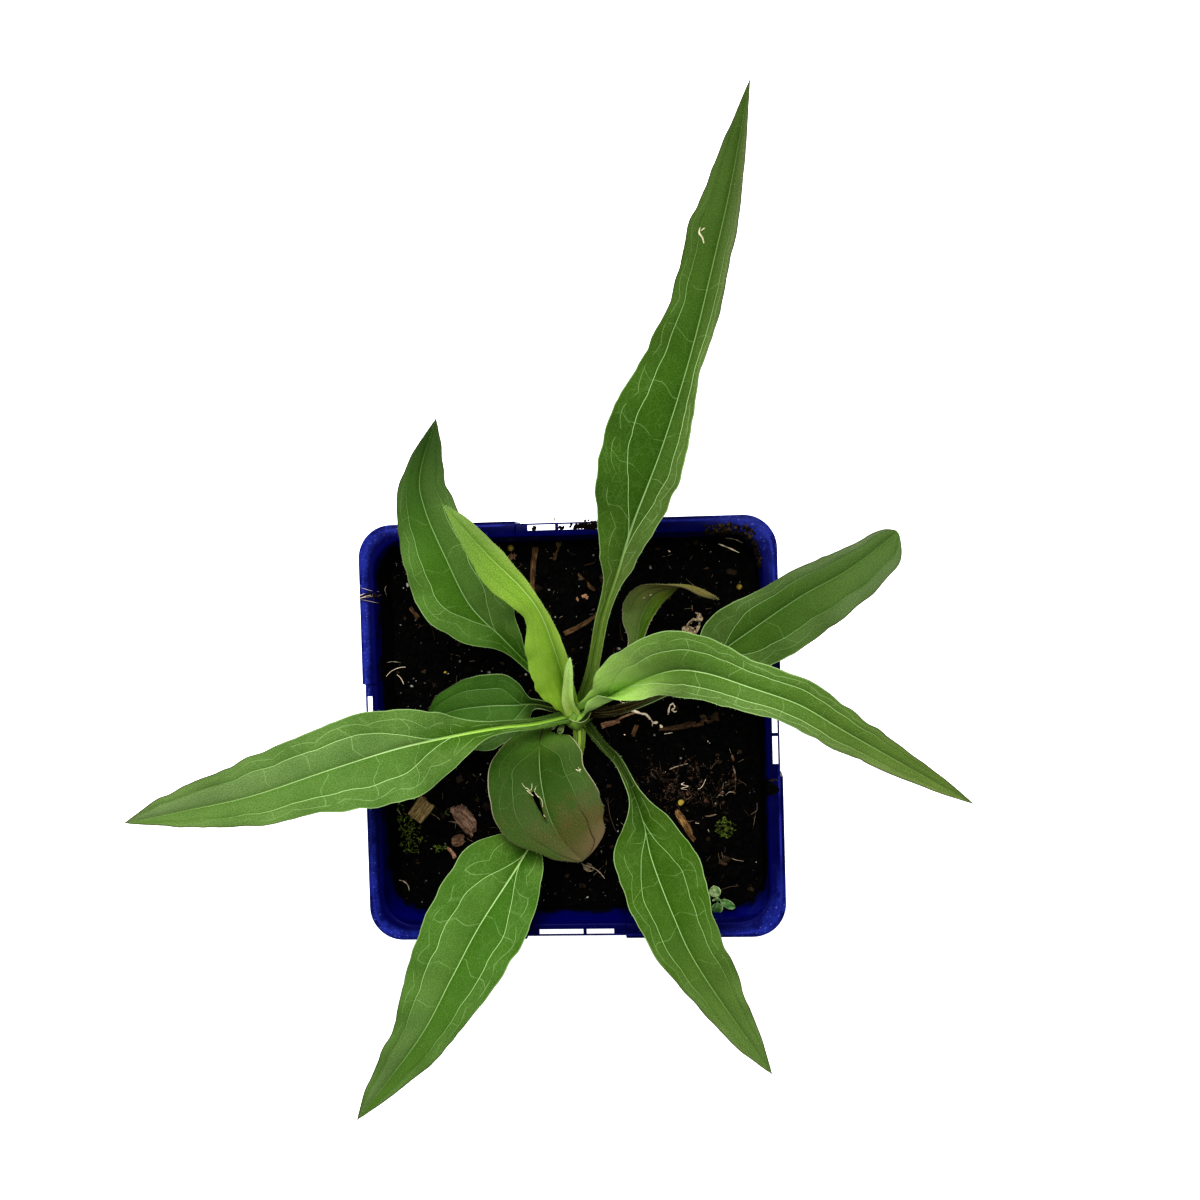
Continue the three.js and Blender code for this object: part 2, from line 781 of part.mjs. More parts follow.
function makeWeed() {
  let weed = upright(WEED.stemRadius * 0.8, WEED.stemRadius, WEED.foot, WEED.top, WEED.x, WEED.y, 8);
  for (const turn of WEED.turns) {
    const geometry = new THREE.CylinderGeometry(
      WEED.leafRadius,
      WEED.leafRadius * 0.9,
      WEED.leafThickness,
      12,
    );
    geometry
      .rotateX(RIGHT_ANGLE)
      .scale(1, WEED.leafNarrowing, 1)
      .translate(WEED.reach, 0, 0)
      .rotateY(-rad(WEED.leafTilt))
      .rotateZ(rad(turn))
      .translate(WEED.x, WEED.y, WEED.top - 0.3);
    weed = weed.add(solid(geometry));
  }
  return weed;
}

// A chip: a box with its long edges taken off, tipped a little into the soil.
function chipSolid({ at, size, turn }) {
  const [length, width, height] = size;
  const shape = new THREE.Shape(
    CHIP_OUTLINE.map(([x, y]) => new THREE.Vector2(x * width, y * height)),
  );
  const geometry = new THREE.ExtrudeGeometry(shape, { depth: length, bevelEnabled: false });
  geometry
    .translate(0, 0, -length / 2)
    .rotateX(RIGHT_ANGLE)
    .rotateZ(RIGHT_ANGLE + rad(turn))
    .translate(at[0], at[1], soilHeight(...at) + height * CHIP_RISE);
  return solid(geometry);
}

function stickSolid({ at, length, radius, turn }) {
  const geometry = new THREE.CylinderGeometry(radius * STICK_TAPER, radius, length, STICK_SIDES);
  geometry
    .rotateZ(RIGHT_ANGLE)
    .rotateZ(rad(turn))
    .translate(at[0], at[1], soilHeight(...at) + radius * STICK_RISE);
  return solid(geometry);
}

const group = new THREE.Group();
group.add(meshOf(makePot(), "pot", 0x141a86, 0.42));

group.add(meshOf(makeSoil(), "soil", 0x17120d, 0.95));
group.add(meshOf(crownSolid(0), "crown", 0x7f9a4a, 0.6));
group.add(meshOf(makeWeed(), "weed_seedling", 0x6f9a4c, 0.6));

// Loose pieces stand on the soil: what would reach into it is cut off.
const liftedSoil = soilSolid(GAP, CROWN.foot);
for (const [name, chip] of Object.entries(CHIPS)) {
  group.add(meshOf(chipSolid(chip).subtract(liftedSoil), name, chip.colour, 0.9));
}
for (const [name, stick] of Object.entries(STICKS)) {
  group.add(meshOf(stickSolid(stick).subtract(liftedSoil), name, stick.colour, 0.9));
}

// Leaves are trimmed by the crown and, where stalks crowd together, by those below them.
const crownGrown = crownSolid(GAP);
const below = [];
for (const [name, leaf] of Object.entries(LEAVES)) {
  let made = leafSolid(leaf).subtract(crownGrown);
  if (leaf.tear) made = made.subtract(tearSolid(leaf.tear));
  for (const other of below) {
    if (made.intersect(other).volume() > 0) made = made.subtract(other);
  }
  below.push(leafSolid(leaf, GAP));
  group.add(meshOf(made, name, leaf.colour, 0.5));
}

export default group;
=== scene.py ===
# A young purple coneflower plant in its square blue nursery pot, as it is put together:
# pot, soil, loose bits on the soil, crown, leaves, hairs and a weed seedling.
# Places and sizes are in millimetres in the part's own frame, and go into the meshes in metres.
import math

import bpy
import numpy as np
from mathutils import Matrix, Vector


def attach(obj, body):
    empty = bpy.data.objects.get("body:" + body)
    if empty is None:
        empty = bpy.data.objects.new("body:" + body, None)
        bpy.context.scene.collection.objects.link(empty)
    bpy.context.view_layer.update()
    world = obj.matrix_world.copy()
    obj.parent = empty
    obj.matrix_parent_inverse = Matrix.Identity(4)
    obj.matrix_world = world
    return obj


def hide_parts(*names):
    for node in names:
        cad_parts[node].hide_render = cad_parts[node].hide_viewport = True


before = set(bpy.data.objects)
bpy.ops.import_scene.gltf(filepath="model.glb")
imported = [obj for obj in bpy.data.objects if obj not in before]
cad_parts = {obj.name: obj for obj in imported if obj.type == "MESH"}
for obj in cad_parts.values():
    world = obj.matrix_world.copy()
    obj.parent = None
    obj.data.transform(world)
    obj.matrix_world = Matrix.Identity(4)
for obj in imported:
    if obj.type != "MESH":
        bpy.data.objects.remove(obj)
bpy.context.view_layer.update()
MM = 0.001

# ---------------------------------------------------------------- Camera
# The camera looks down on the plant, a little tilted, from about half a metre above the table.
CAMERA_PLACE = Vector((50.2, 46.1, 535.4)) * MM
CAMERA_TILTS = (("X", -1.97), ("Y", 5.42), ("Z", -1.45))
CAMERA_LENS = 56.7

camera = bpy.data.objects.new("camera", bpy.data.cameras.new("camera"))
camera.data.lens = CAMERA_LENS
camera.data.sensor_width = 36
camera_turn = Matrix.Identity(4)
for axis, degrees in CAMERA_TILTS:
    camera_turn @= Matrix.Rotation(math.radians(degrees), 4, axis)
camera.matrix_world = Matrix.Translation(CAMERA_PLACE) @ camera_turn
bpy.context.scene.collection.objects.link(camera)
bpy.context.scene.camera = camera
bpy.context.scene.view_settings.view_transform = "Standard"
bpy.context.scene.view_settings.look = "High Contrast"

# ---------------------------------------------------------------- Table and light
# A plain white table that glows a little, one wide soft lamp overhead and a pale room.
TABLE_HALF = 4000
LAMP_SIZE = 700
LAMP_PLACE = Vector((0, 480, 1150))
LAMP_POWER = 16
ROOM_LIGHT = 0.4
TABLE_GLOW = 0.55


def mesh_piece(name, points, faces, finish, smooth=True):
    """An object from points in millimetres and faces as lists of corners, with its finish."""
    mesh = bpy.data.meshes.new(name)
    mesh.from_pydata((np.asarray(points, float) * MM).tolist(), [], faces)
    mesh.update()
    if smooth:
        mesh.polygons.foreach_set("use_smooth", np.ones(len(mesh.polygons), bool))
    mesh.materials.append(finish)
    piece = bpy.data.objects.new(name, mesh)
    bpy.context.scene.collection.objects.link(piece)
    return piece


def seen(red, green, blue):
    """A colour given as it looks, 0 to 255, as the linear colour that shaders use."""
    share = np.array([red, green, blue]) / 255
    linear = np.where(share <= 0.04045, share / 12.92, ((share + 0.055) / 1.055) ** 2.4)
    return (*linear.tolist(), 1.0)


def new_finish(name, **sockets):
    """A material whose shader has the given numbers and colours set on its own sockets."""
    finish = bpy.data.materials.new(name)
    finish.use_nodes = True
    shader = finish.node_tree.nodes["Principled BSDF"]
    for socket, value in sockets.items():
        shader.inputs[socket.replace("_", " ")].default_value = value
    return finish, finish.node_tree, shader


table_finish = new_finish("table_white", Base_Color=(0.9, 0.9, 0.9, 1), Roughness=0.9,
                          Emission_Color=(1, 1, 1, 1), Emission_Strength=TABLE_GLOW)[0]
table_corners = [(x * TABLE_HALF, y * TABLE_HALF, 0) for x, y in ((-1, -1), (1, -1), (1, 1), (-1, 1))]
table = mesh_piece("table", table_corners, [(0, 1, 2, 3)], table_finish)

lamp = bpy.data.objects.new("lamp", bpy.data.lights.new("lamp", "AREA"))
lamp.data.size = LAMP_SIZE * MM
lamp.data.energy = LAMP_POWER
lamp.location = LAMP_PLACE * MM
lamp.rotation_euler = (-lamp.location).to_track_quat("-Z", "Y").to_euler()
bpy.context.scene.collection.objects.link(lamp)

room = bpy.data.worlds.new("room")
room.use_nodes = True
room.node_tree.nodes["Background"].inputs["Color"].default_value = (0.95, 0.98, 1, 1)
room.node_tree.nodes["Background"].inputs["Strength"].default_value = ROOM_LIGHT
bpy.context.scene.world = room

# ---------------------------------------------------------------- Pot
# One moulded blue plastic pot: thin sloping walls, a flat rim with a turned-down skirt, and in the
# middle of each side a shallow recess with a slot in two lengths for a label, over a gap in the
# skirt. Drain holes in the base.
POT_HEIGHT = 90
RIM_HALF = 50
BASE_HALF = 36
WALL = 1.2
BASE_THICKNESS = 1.6
CORNER_RADIUS = 8
FLANGE_WIDTH = 2.6
FLANGE_THICKNESS = 1.2
SKIRT_DEPTH = 11
SKIRT_WALL = 0.95
SKIRT_FLARE = 0.4
EDGE_ROUND = 0.35
SLOT_LENGTH = 18
SLOT_WIDTH = 1.3
SLOT_BAR = 0.7
SLOT_BAR_OFFSET = 2
SLOT_REACH = 48.35
RECESS_LENGTH = 24
RECESS_DEPTH = 0.6
RECESS_DROP = 0.4
RECESS_EDGE = 0.25
SKIRT_GAP_REACH = 47.6
DRAIN_RADIUS = 4
DRAIN_CORNER_REACH = 25
DRAIN_SIDE_REACH = 25
BLUE = seen(1, 2, 62)
INNER_BLUE_PAINTED_PALER = seen(2, 3, 100)
SHADED_BLUE = seen(2, 3, 30)
LIP_PAINTED_HIGHLIGHT = seen(60, 66, 168)
RUBBED_BLUE = seen(40, 50, 128)
RUBBED_SPECKS = seen(110, 120, 180)
POT_DUST = seen(60, 68, 150)
POT_SCUFFS = seen(110, 116, 180)
SOIL_MARK_AND_SHADE = seen(12, 9, 7)
# The rest is in metres, as the finish reads it: how round the corners of its squares are, where the soil
# marks and painted shade on the inner wall end, and the place of the one smear on the rim.
ROUND_POWER = 14.0
MARKS_AND_SHADE_END, MARKS_AND_SHADE_FULL = 0.083, 0.079
MARKS_AND_SHADE_HIGHER = 0.0065
SMEAR_X, SMEAR_Y = 0.0464, -0.0143


def eased(share):
    """0 below 0, 1 above 1, and share squared times (3 minus twice the share) between."""
    share = np.clip(share, 0, 1)
    return share * share * (3 - 2 * share)


def square_rings(half, radius, height, stations, arc_steps):
    """Level rings round a square with round corners, counter-clockwise from above.
    A side's points lie at the stations, held between its two corner arcs, and each
    corner is a quarter circle. The ring is one side and corner, turned three more times."""
    half, radius, height = (np.asarray(a, float)[:, None] for a in (half, radius, height))
    reach = half - radius
    along = np.clip(stations, -reach, reach)
    turn = np.linspace(0, math.pi / 2, arc_steps + 1)[1:-1]
    outward = np.hstack([np.broadcast_to(half, along.shape), reach + radius * np.cos(turn)])
    sideways = np.hstack([along, reach + radius * np.sin(turn)])
    ring = np.hstack([(outward + 1j * sideways) * 1j**quarter for quarter in range(4)])
    return np.stack([ring.real, ring.imag, np.broadcast_to(height, ring.shape)], axis=-1)


def skin(rings):
    """Points and faces of a closed skin over rings of equal size: four-cornered faces from ring to
    ring, and one face over each end. A ring runs right-handed round the way the rings go."""
    count, size = rings.shape[:2]
    ring = np.arange(size)
    start = np.arange(count - 1)[:, None] * size
    quads = np.stack([start + ring, start + (ring + 1) % size,
                      start + size + (ring + 1) % size, start + size + ring], axis=-1)
    ends = [ring[::-1].tolist(), (ring + (count - 1) * size).tolist()]
    return rings.reshape(-1, 3), quads.reshape(-1, 4).tolist() + ends


def wall_half(height):
    """Half width of the wall's outside at a height: it slopes evenly from base to rim."""
    return BASE_HALF + (RIM_HALF - FLANGE_WIDTH - BASE_HALF) * height / POT_HEIGHT


def quarter_round(half, height, out, up, steps=4):
    """Points of a quarter circle that turns from going out or in to going up or down."""
    turn = np.linspace(0, math.pi / 2, steps)
    return [(half + out * math.sin(a), height + up * (1 - math.cos(a))) for a in turn]


def box_cutter(length, width, height, place):
    """Corners and faces of a box, lengthwise along X."""
    signs = np.array([(x, y, z) for x in (-1, 1) for y in (-1, 1) for z in (-1, 1)])
    corners = signs * np.array([length, width, height]) / 2 + place
    faces = [(0, 1, 3, 2), (4, 6, 7, 5), (0, 4, 5, 1), (2, 3, 7, 6), (0, 2, 6, 4), (1, 5, 7, 3)]
    return corners, faces


def joined(shapes):
    """Several shapes, each (points, faces), as one."""
    points, faces = [], []
    for shape_points, shape_faces in shapes:
        first = sum(len(p) for p in points)
        points.append(shape_points)
        faces += [[first + corner for corner in face] for face in shape_faces]
    return np.vstack(points), faces


def carve(piece, cutters):
    """Cuts closed shapes, a list of (points, faces), out of the piece."""
    knife = mesh_piece("knife", *joined(cutters), piece.data.materials[0], smooth=False)
    cut = piece.modifiers.new("cut", "BOOLEAN")
    cut.object = knife
    cut.solver = "EXACT"
    view = bpy.context.evaluated_depsgraph_get()
    carved = bpy.data.meshes.new_from_object(piece.evaluated_get(view))
    piece.modifiers.clear()
    piece.data = carved
    bpy.data.objects.remove(knife)


class Field:
    """A number or a colour that a material works out at each place on a piece. A sum of fields
    and plain numbers is a field too, made by one node."""

    def __init__(self, socket):
        self.socket = socket

    def calc(self, operation, second=0.0, third=0.0):
        """The result of one sum that starts with this field."""
        settings = {"operation": operation}
        return paint(self.socket.id_data, "Math", settings, _0=self, _1=second, _2=third)[0]

    def __add__(self, other):
        return self.calc("ADD", other)

    def __sub__(self, other):
        return self.calc("SUBTRACT", other)

    def __mul__(self, other):
        return self.calc("MULTIPLY", other)

    def __pow__(self, other):
        return self.calc("POWER", other)

    def __mod__(self, other):
        return self.calc("MODULO", other)

    def __abs__(self):
        return self.calc("ABSOLUTE")

    def scaled(self, factor, start):
        """This field times the factor, plus the start."""
        return self.calc("MULTIPLY_ADD", factor, start)

    def most(self, other):
        """The larger of two fields."""
        return self.calc("MAXIMUM", other)

    def ramp(self, low, high, smooth=True):
        """A share that rises from 0 at low to 1 at high."""
        settings = {"interpolation_type": "SMOOTHSTEP" if smooth else "LINEAR"}
        return paint(self.socket.id_data, "MapRange", settings, Value=self, From_Min=low, From_Max=high)[0]


def paint(tree, kind, settings=None, **inputs):
    """Adds a shader node and gives its outputs as fields. An input is a value or the field that
    feeds it, and _0, _1 and so on name an input by its place."""
    made = tree.nodes.new("ShaderNode" + kind)
    for key, value in (settings or {}).items():
        setattr(made, key, value)
    for key, value in inputs.items():
        socket = made.inputs[int(key[1:]) if key.startswith("_") else key.replace("_", " ")]
        if isinstance(value, Field):
            tree.links.new(value.socket, socket)
        else:
            socket.default_value = value
    return [Field(output) for output in made.outputs]


def blend(share, first, second, how="MIX"):
    """Mixes two colours, of which one at least is a field or the share is, by a share from 0 to 1."""
    tree = next(part.socket.id_data for part in (share, first, second) if isinstance(part, Field))
    return paint(tree, "Mix", {"data_type": "RGBA", "blend_type": how}, _0=share, _6=first, _7=second)[2]


def place_on_piece(tree):
    """The place on the piece in metres, as one field, and the direction its surface faces."""
    outputs = paint(tree, "TexCoord")
    return outputs[3], outputs[1]


def apart(place):
    """The three numbers of a place."""
    return paint(place.socket.id_data, "SeparateXYZ", Vector=place)


def together(x, y, z=0.0):
    """The place that three numbers give."""
    return paint(y.socket.id_data, "CombineXYZ", X=x, Y=y, Z=z)[0]


def kept_field(tree, name):
    """The number and the three numbers that the mesh keeps under a name."""
    outputs = paint(tree, "Attribute", {"attribute_name": name})
    return outputs[2], outputs[1]


def speckle(tree, scale, detail=2.0, roughness=0.5, place=None):
    """Smooth noise over the piece's own place, scale in bumps a metre."""
    place = place or place_on_piece(tree)[0]
    return paint(tree, "TexNoise", Vector=place, Scale=scale, Detail=detail, Roughness=roughness)[0]


def give(shader, **fields):
    """Feeds the shader's sockets from fields."""
    for name, field in fields.items():
        field.socket.id_data.links.new(field.socket, shader.inputs[name.replace("_", " ")])


def relief(shader, height, depth):
    """Gives a shader the fine relief of a height from 0 to 1, that deep in millimetres."""
    give(shader, Normal=paint(height.socket.id_data, "Bump", Height=height, Strength=depth, Distance=MM)[0])


def plastic_finish():
    """Blue moulded plastic: satin, with faint dust in the corners, fine scuffs and soil marks. There is
    painted light and shade too: the inner wall is painted paler than the rim, the lip carries a painted
    highlight, the soil marks deepen into painted shade low on the inner wall, and the inner fillet is
    darkened with painted shade. Places are in metres here. reach is the half width of the round-cornered
    square that goes through a place, so it tells the flange from the wall."""
    finish, tree, shader = new_finish("blue_plastic", Specular_IOR_Level=0.04)
    dust = speckle(tree, 90, 4).ramp(0.45, 0.75)
    scuffs = speckle(tree, 900, 3, 0.6).ramp(0.6, 0.72)
    place, normal = place_on_piece(tree)
    x, y, height = apart(place)
    flank, front = abs(x), abs(y)
    half = RIM_HALF * MM
    powers = [(side * (1 / half)) ** ROUND_POWER for side in (flank, front)]
    reach = (powers[0] + powers[1]) ** (1 / ROUND_POWER) * half
    # The inner wall is painted a paler blue than the rim. This is painted light, for the light that comes
    # through the thin plastic.
    colour = blend(reach.ramp(0.0474, 0.0466), BLUE, INNER_BLUE_PAINTED_PALER)
    colour = blend(dust * 0.06, colour, POT_DUST)
    colour = blend(scuffs * 0.05, colour, POT_SCUFFS)

    # A painted highlight lines the lip, broken up by noise, and the rim is rubbed pale at its corners and
    # along the left side.
    lip_highlight = abs(reach - 0.0491).ramp(0.0004, 0.0001) * height.ramp(0.0894, 0.0898)
    highlight_breakup = speckle(tree, 150, 3).ramp(0.35, 0.65).scaled(0.4, 0.12)
    colour = blend(lip_highlight * highlight_breakup, colour, LIP_PAINTED_HIGHLIGHT)
    corner = flank.ramp(0.028, 0.044) * front.ramp(0.03, 0.044)
    rubbed = corner.most(x.ramp(-0.047, -0.048)) * reach.ramp(0.0474, 0.0486)
    rubbed = rubbed.most(x.ramp(0.036, 0.045) * front.ramp(0.036, 0.045) * 0.75)
    patches = speckle(tree, 260, 4, 0.65).ramp(0.36, 0.62).scaled(0.65, 0.2)
    colour = blend(rubbed * patches, colour, RUBBED_BLUE)
    specks = speckle(tree, 1500, 2, 0.7).ramp(0.6, 0.72) * rubbed
    colour = blend(specks * 0.55, colour, RUBBED_SPECKS)

    # Soil marks on the inner wall, deepened with painted shade: high up in the middle of the two flanks,
    # lower elsewhere, and most of all under the band of crumbs in the far right corner. One smear of soil is
    # on the rim.
    torn = speckle(tree, 160, 5, 0.7).scaled(0.016, -0.008)
    middle = flank.ramp(0.040, 0.0425) * front.ramp(0.042, 0.031)
    left_top = x.ramp(-0.040, -0.0425) * y.ramp(-0.034, -0.02)
    low = (height + middle.most(left_top).scaled(-MARKS_AND_SHADE_HIGHER, torn)).ramp(MARKS_AND_SHADE_END, MARKS_AND_SHADE_FULL)
    low = low.most(x.ramp(0.033, 0.037) * (y + torn).ramp(0.037, 0.040) * 0.75)
    facing = paint(tree, "VectorMath", {"operation": "DOT_PRODUCT"}, _0=normal, _1=together(x, y))[1]
    inside = reach.ramp(0.0468, 0.0462) * facing.ramp(0.014, 0.004) * height.ramp(0.0008, 0.0015)
    from_smear = together((x - SMEAR_X) * 0.9, y - SMEAR_Y)
    from_smear = paint(tree, "VectorMath", {"operation": "LENGTH"}, _0=from_smear)[1]
    marks_and_shade = (low * inside).most(torn.scaled(0.5, from_smear).ramp(0.0024, 0.0018))
    colour = blend(marks_and_shade, colour, SOIL_MARK_AND_SHADE)
    # Painted shade darkens the rounded inner edge of the rim.
    fillet_shade = reach.ramp(0.0459, 0.0464) * reach.ramp(0.0474, 0.0468)
    colour = blend(fillet_shade * 0.55, colour, SHADED_BLUE)
    give(shader, Base_Color=colour, Roughness=marks_and_shade.scaled(0.4, dust.scaled(0.2, 0.34)))
    relief(shader, speckle(tree, 1400, 3), 0.03)
    return finish


pot_profile = [(BASE_HALF - 1.2, 0)]
pot_profile += quarter_round(BASE_HALF - EDGE_ROUND, 0, EDGE_ROUND, EDGE_ROUND)
pot_profile += [(wall_half(z), z) for z in np.linspace(3, POT_HEIGHT - FLANGE_THICKNESS - 0.4, 12)]
skirt_foot = POT_HEIGHT - SKIRT_DEPTH
under_flange = POT_HEIGHT - FLANGE_THICKNESS
pot_profile += [
    (wall_half(under_flange) + 0.1, under_flange - 0.1),
    (wall_half(under_flange) + 0.3, under_flange),
    (RIM_HALF - SKIRT_WALL - 0.2, under_flange),
    (RIM_HALF - SKIRT_WALL, under_flange - 0.2),
    (RIM_HALF - SKIRT_WALL - SKIRT_FLARE, skirt_foot + 0.2),
    (RIM_HALF - SKIRT_WALL - SKIRT_FLARE + 0.15, skirt_foot),
    (RIM_HALF - SKIRT_FLARE - 0.25, skirt_foot),
    (RIM_HALF - SKIRT_FLARE, skirt_foot + 0.25),
    (RIM_HALF - SKIRT_FLARE * 0.5, POT_HEIGHT - SKIRT_DEPTH * 0.5),
]
rim_round = quarter_round(RIM_HALF - 0.5, POT_HEIGHT, 0.5, -0.5)[::-1]
inner_round = quarter_round(RIM_HALF - FLANGE_WIDTH - WALL + 0.5, POT_HEIGHT, -0.5, -0.5)
pot_profile += rim_round + inner_round
inner_heights = np.linspace(POT_HEIGHT - 3, BASE_THICKNESS + 1.5, 8)
pot_profile += [(wall_half(z) - WALL, z) for z in inner_heights]
pot_profile += [(BASE_HALF - WALL - 0.2, BASE_THICKNESS + 0.4), (BASE_HALF - WALL - 1.2, BASE_THICKNESS)]
pot_halves, pot_heights = np.array(pot_profile).T
recess_edges = RECESS_LENGTH / 2 + np.array([-RECESS_EDGE, 0])
side_stations = np.array([4, 8, *recess_edges, *range(16, 40, 6), RIM_HALF])
side_stations = np.concatenate([-side_stations[::-1], [0], side_stations])
pot_radii = np.interp(pot_halves, [BASE_HALF - 2, RIM_HALF], [CORNER_RADIUS - 1.5, CORNER_RADIUS])
pot_rings = square_rings(pot_halves, pot_radii, pot_heights, side_stations, 14)

# The recess: the skirt's face is pushed in and the flange's top down, in the middle of each side.
flat = pot_rings[..., :2]
in_middle = eased((RECESS_LENGTH / 2 - np.abs(flat).min(axis=-1)) / RECESS_EDGE)
on_face = (pot_halves > RIM_HALF - 0.7) & (pot_heights >= skirt_foot)
on_top = pot_heights > POT_HEIGHT - 0.6
outward = np.where(np.abs(flat) == np.abs(flat).max(axis=-1, keepdims=True), np.sign(flat), 0)
pot_rings[..., :2] -= outward * (RECESS_DEPTH * in_middle * on_face[:, None])[..., None]
pot_rings[..., 2] -= RECESS_DROP * in_middle * on_top[:, None]

pot = mesh_piece("pot_moulded", *skin(pot_rings), plastic_finish())


def round_the_pot(shape, side):
    """Turns a (points, faces) shape by that many quarter turns about the pot's middle."""
    corners, faces = shape
    turned = (corners[:, 0] + 1j * corners[:, 1]) * 1j**side
    return np.column_stack([turned.real, turned.imag, corners[:, 2]]), faces


gap_reach = RIM_HALF + 4 - SKIRT_GAP_REACH
gap = box_cutter(RECESS_LENGTH, gap_reach, 16, (0, -(SKIRT_GAP_REACH + gap_reach / 2), under_flange - 8))
carve(pot, [round_the_pot(gap, side) for side in range(4)])
cutters = []
for side in range(4):
    bar = -SLOT_BAR_OFFSET if side % 2 else SLOT_BAR_OFFSET
    for low, high in ((-SLOT_LENGTH / 2, bar - SLOT_BAR / 2), (bar + SLOT_BAR / 2, SLOT_LENGTH / 2)):
        slot = box_cutter(high - low, SLOT_WIDTH, 6, ((low + high) / 2, -SLOT_REACH, POT_HEIGHT))
        cutters.append(round_the_pot(slot, side))
    for middle in (DRAIN_SIDE_REACH, DRAIN_CORNER_REACH * (1 + 1j)):
        hole = middle * 1j**side + DRAIN_RADIUS * np.exp(2j * math.pi * np.arange(32) / 32)
        rings = np.stack([np.column_stack([hole.real, hole.imag, np.full(32, z)]) for z in (-2, 4)])
        cutters.append(skin(rings))
carve(pot, cutters)
pot.data.set_sharp_from_angle(angle=math.radians(35))
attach(pot, "root")
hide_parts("pot")

# ---------------------------------------------------------------- Soil
# Dark potting mix of fine bark and peat that fills the pot to a little below the rim: one lumpy
# body, thousands of crumbs on it, and pale and brown fibres. Round BROWN_X, BROWN_Y lies a patch
# of brown shredded bark, with finer fibres.
SOIL_LEVEL = 78
SOIL_RELIEF = 1.1
SOIL_CLEARANCE = 0.08
CLOD_SIZES = ((6, 1.1), (3, 0.8), (2, 0.5), (1, 0.4))
CROWN_X, CROWN_Y = 0.5, 3
CRUMB_COUNT = 5200
FIBRE_COUNT = 520
BROWN_X, BROWN_Y = 26.5, -15.5
BROWN_FIBRES = 210


def lattice_noise(x, y, size, seed):
    """Smooth noise from -1 to 1: random numbers on a square lattice, eased from one to the next."""
    table = np.random.default_rng(seed).uniform(-1, 1, (64, 64))
    column, row = np.floor(x / size).astype(int), np.floor(y / size).astype(int)
    across, up = eased(x / size - column), eased(y / size - row)
    corner = [[table[(column + i) % 64, (row + k) % 64] for k in (0, 1)] for i in (0, 1)]
    low = corner[0][0] + (corner[1][0] - corner[0][0]) * across
    high = corner[0][1] + (corner[1][1] - corner[0][1]) * across
    return low + (high - low) * up


def soil_height(x, y):
    """Height of the soil: gentle mounds, a little higher round the crown, lower at the wall."""
    mounds = (np.sin(0.19 * x + 0.6) * np.cos(0.23 * y - 0.4)
              + 0.6 * np.sin(0.43 * x - 0.37 * y + 1.1)
              + 0.35 * np.sin(0.9 * x + 0.7 * y) * np.cos(0.8 * y - 0.5 * x))
    heap = 0.5 * np.exp(-(np.hypot(x - CROWN_X, y - CROWN_Y) / 14) ** 2)
    edge = 1.2 * np.maximum(0, np.maximum(np.abs(x), np.abs(y)) / 45 - 0.75)
    return SOIL_LEVEL + SOIL_RELIEF * 0.6 * mounds + heap - edge


def lumpy_soil(x, y):
    """The soil's height with its clods: four sizes of noise, each half the size and height of
    the one before, with the hollows kept round and the tops made sharp."""
    lumps = sum(height * np.abs(lattice_noise(x, y, size, 10 + size)) for size, height in CLOD_SIZES)
    return soil_height(x, y) - 0.9 + lumps


def on_soil(x, y, rise):
    """Places that stand this far above the lumpy soil."""
    return np.stack([x, y, lumpy_soil(x, y) + rise], axis=-1)


def soil_finish():
    """Nearly black peat with brown bark dust, dry and dull."""
    finish, tree, shader = new_finish("peat", Roughness=0.95, Specular_IOR_Level=0.12)
    fine = speckle(tree, 700, 4, 0.6).ramp(0.42, 0.7)
    colour = blend(fine, seen(2, 2, 2), seen(17, 13, 10))
    give(shader, Base_Color=blend(kept_field(tree, "tone")[0], colour, seen(84, 68, 52)))
    relief(shader, speckle(tree, 1500, 4, 0.6), 0.5)
    return finish


def give_tone(piece, tones):
    """Keeps one number for each point, from 0, dark, to 1, pale."""
    kept = piece.data.attributes.new("tone", "FLOAT", "POINT")
    kept.data.foreach_set("value", np.asarray(tones, np.float32))


peat = soil_finish()
soil_half = wall_half(SOIL_LEVEL) - WALL - SOIL_CLEARANCE
shares = np.linspace(1, 0.02, 84)
heights_below = np.linspace(BASE_THICKNESS + 0.3, SOIL_LEVEL - 4, 6)
halves = np.concatenate([wall_half(heights_below) - WALL - SOIL_CLEARANCE, soil_half * shares])
radii = (CORNER_RADIUS - WALL) * np.concatenate([np.ones(len(heights_below)), shares])
soil_rings = square_rings(halves, radii, np.concatenate([heights_below, shares * 0]),
                          (halves - radii)[:, None] * np.linspace(-1, 1, 120), 20)
top = soil_rings[len(heights_below):]
top[..., 2] = lumpy_soil(top[..., 0], top[..., 1])
soil = mesh_piece("soil_body", *skin(soil_rings), peat)
give_tone(soil, np.zeros(len(soil.data.vertices)))
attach(soil, "root")
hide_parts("soil")

ICO_UP = (1 + math.sqrt(5)) / 2
ICO_POINTS = np.array([(-1, ICO_UP, 0), (1, ICO_UP, 0), (-1, -ICO_UP, 0), (1, -ICO_UP, 0),
                       (0, -1, ICO_UP), (0, 1, ICO_UP), (0, -1, -ICO_UP), (0, 1, -ICO_UP),
                       (ICO_UP, 0, -1), (ICO_UP, 0, 1), (-ICO_UP, 0, -1), (-ICO_UP, 0, 1)])
ICO_POINTS = ICO_POINTS / np.linalg.norm(ICO_POINTS[0])
ICO_FACES = np.array([(0, 11, 5), (0, 5, 1), (0, 1, 7), (0, 7, 10), (0, 10, 11), (1, 5, 9),
                      (5, 11, 4), (11, 10, 2), (10, 7, 6), (7, 1, 8), (3, 9, 4), (3, 4, 2),
                      (3, 2, 6), (3, 6, 8), (3, 8, 9), (4, 9, 5), (2, 4, 11), (6, 2, 10),
                      (8, 6, 7), (9, 8, 1)])


